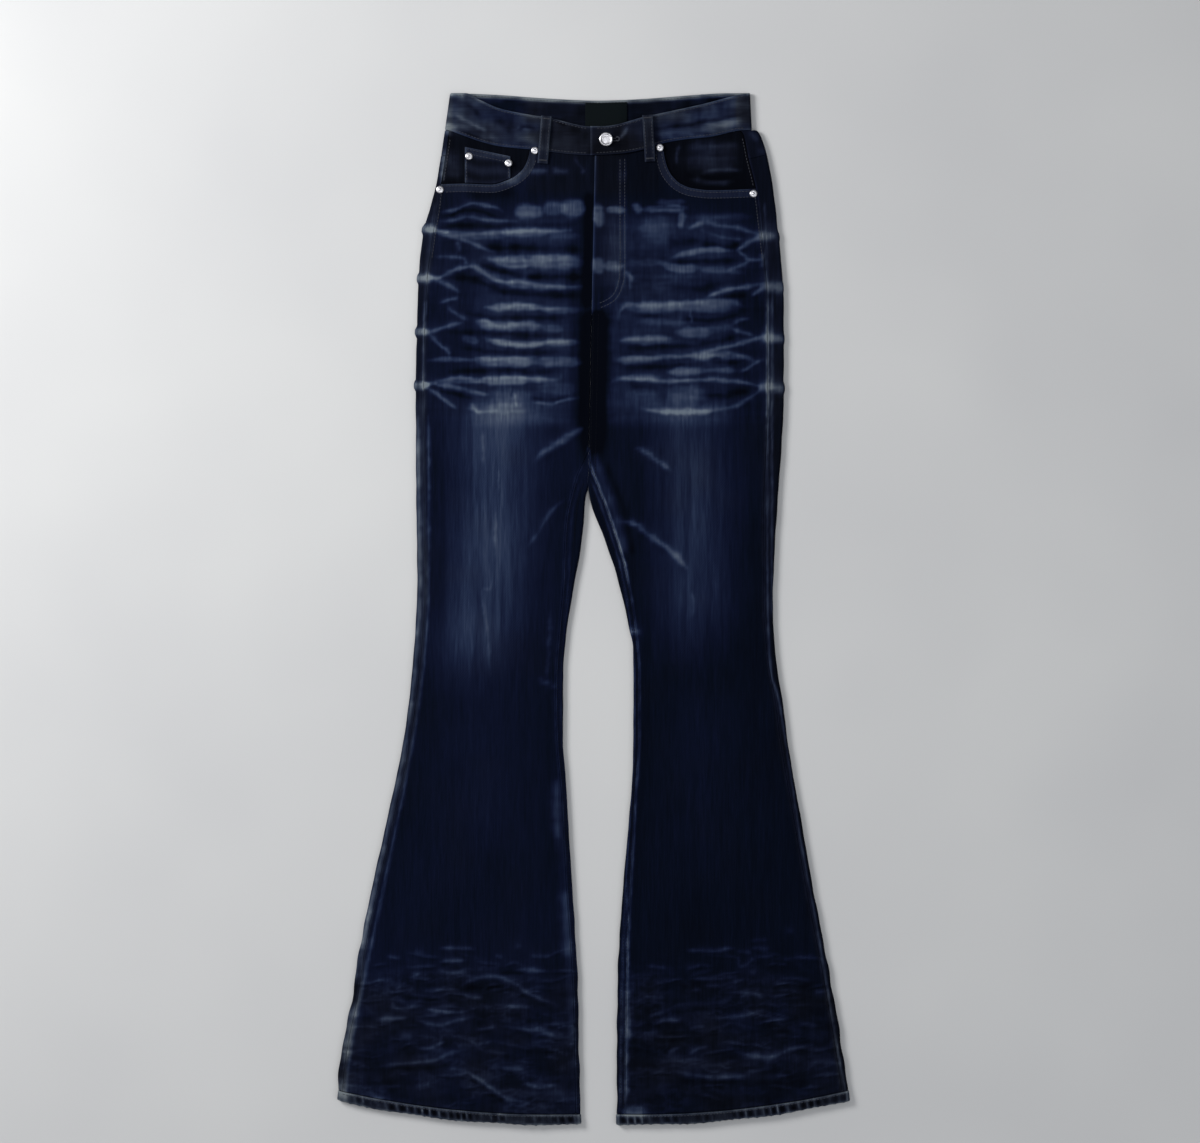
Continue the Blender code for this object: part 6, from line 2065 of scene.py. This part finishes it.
def sew_loop(name, path, z, width, up):
    """Two rows along a loop and a bar tack near each end."""
    run = np.hypot(*(path - path[0]).T)
    along = (path[-1] - path[0]) / run[-1]

    def height(x, y):
        return np.interp((x - path[0][0]) * along[0] + (y - path[0][1]) * along[1], run, z)

    inner = path[(run > 5) & (run < run[-1] - 5)]
    rows = [offset_path(inner, shift) for shift in (width * 0.33, -width * 0.33)]
    made = [sewn(f"thread_{name}", rows, height, TAN, up=up, rides=0.1)]
    bars = tack(path[0] + along * 3.2, along, width - 3.0) + tack(path[-1] - along * 3.2, along, width - 3.0)
    made.append(sewn(f"tacks_{name}", bars, height, TAN, pitch=2.5, up=up))
    return made


def sew_back_pocket(side):
    spec = BACK_POCKET
    rows = []
    for inset in (2.2, 8.6):
        half = spec["width"] / 2 - inset
        low = spec["top"] - spec["height"] + inset * 1.1
        shoulder = low + spec["point"]
        corners = [(half, spec["top"] - 1.0), (half * 0.93, shoulder), (0, low), (-half * 0.93, shoulder)]
        corners.append((-half, spec["top"] - 1.0))
        for a, b in zip(corners, corners[1:]):
            rows.append(np.array([a, b]) + [side.sign * spec["centre"], 0])
    for drop in (2.6, 14.0):
        x = np.array([-1, 1]) * (spec["width"] / 2 - 3) + side.sign * spec["centre"]
        rows.append(line(x, spec["top"] - drop))
    return [sewn(f"thread_back_pocket_{side.name}", rows, lambda x, y: 0.25 + 0 * x, TAN, up=-1)]


# assembling

INDIGO = [
    (0.0, (1, 3, 11)), (0.1, (4, 9, 23)), (0.2, (9, 15, 36)), (0.34, (19, 27, 51)),
    (0.5, (34, 45, 70)), (0.75, (62, 72, 93)), (1.0, (98, 109, 122)),
]
SLATE = [
    (0.0, (2, 3, 8)), (0.1, (8, 10, 17)), (0.2, (15, 18, 28)), (0.34, (26, 30, 41)),
    (0.5, (41, 47, 59)), (0.75, (70, 77, 87)), (1.0, (105, 112, 118)),
]
DENIM = denim("indigo_denim")
BAND_DENIM = denim("indigo_denim_band", warp_along_y=False)
# the facing's copy of the denim is darker: painted shade under the pocket's mouth
FACING_DENIM_SHADED = denim("indigo_denim_facing_shaded", brightness=0.92)
TAN = thread_material("thread_tan", (74, 77, 87))
NAVY = thread_material("thread_navy", (9, 12, 25))
SILVER = metal_material("silver_plate", (214, 214, 220), 0.28)

for half in SIDES:
    front_panel(half)
    sew_front(half)
    back_panel(half)
    sew_back(half)
    yoke(half)
    sew_yoke(half)
    facing(half)
    sew_facing(half)
    hem(half)
    sew_hem(half)
    back_pocket(half)
    sew_back_pocket(half)
waistband()
sew_band()
coin_pocket()
sew_coin()
label()
for row in rows_of(FRONT_LOOPS):
    piece, path, z = front_loop(row)
    sew_loop(row["name"], path, z, LOOP["width"], 1)
for row in rows_of(BACK_LOOPS):
    piece, path, z = back_loop(row)
    sew_loop(row["name"], path, z, BACK_LOOP["width"], -1)
fitting("waist_button", BUTTON_PROFILE, SILVER)
for row in rows_of(RIVETS):
    fitting(row["name"], RIVET_PROFILE, SILVER)


# the floor, the lights and the camera


def floor():
    mesh = bpy.data.meshes.new("floor")
    half, low = 4000.0, -0.5
    corners = [(-half, -half, low), (half, -half, low), (half, half, low), (-half, half, low)]
    mesh.from_pydata([[v * MM for v in corner] for corner in corners], [], [(0, 1, 2, 3)])
    made = bpy.data.objects.new("studio_floor", mesh)
    bpy.context.scene.collection.objects.link(made)
    s = Shader("studio_floor")
    soft = s.noise((3.0, 3.0, 3.0), 2.0)
    s.feed(
        s.surface.inputs["Base Color"],
        s.ramp(soft, [(0.3, srgb(196, 197, 199)), (0.7, srgb(203, 204, 205))]),
    )
    s.surface.inputs["Roughness"].default_value = 0.9
    s.surface.inputs["Specular IOR Level"].default_value = 0.1
    made.data.materials.append(s.material)


def area_light(name, place, size, power, colour):
    data = bpy.data.lights.new(name, "AREA")
    data.shape = "DISK"
    data.size = size
    data.energy = power
    data.color = colour
    made = bpy.data.objects.new(name, data)
    made.location = place
    direction = np.array([0.0, 0.05, 0.0]) - np.array(place)
    made.rotation_euler = (
        math.atan2(math.hypot(direction[0], direction[1]), -direction[2]),
        0.0,
        math.atan2(direction[1], direction[0]) - math.pi / 2,
    )
    made.visible_camera = False
    bpy.context.scene.collection.objects.link(made)


def stage():
    floor()
    area_light("key", (-1.7, 1.0, 1.35), 1.0, 52.0, (1.0, 0.99, 0.97))
    area_light("fill", (1.6, -0.9, 2.2), 1.8, 12.0, (0.95, 0.97, 1.0))
    area_light("overhead", (0.0, 0.3, 3.9), 2.2, 26.0, (1.0, 1.0, 1.0))
    world = bpy.data.worlds.new("studio")
    world.use_nodes = True
    world.node_tree.nodes["Background"].inputs[0].default_value = (0.8, 0.82, 0.85, 1.0)
    world.node_tree.nodes["Background"].inputs[1].default_value = 0.3
    bpy.context.scene.world = world
    bpy.context.scene.view_settings.view_transform = "Standard"
    bpy.context.scene.view_settings.look = "None"


def camera():
    """Straight above the garment, with the waist at the top of the picture."""
    data = bpy.data.cameras.new("camera")
    data.sensor_width = 36.0
    view_width, height = 1.32, 3.12
    data.lens = 36.0 * height / view_width
    made = bpy.data.objects.new("camera", data)
    made.location = (0.00715, 0.0418, height + 0.007)
    bpy.context.scene.collection.objects.link(made)
    bpy.context.scene.camera = made


stage()
camera()
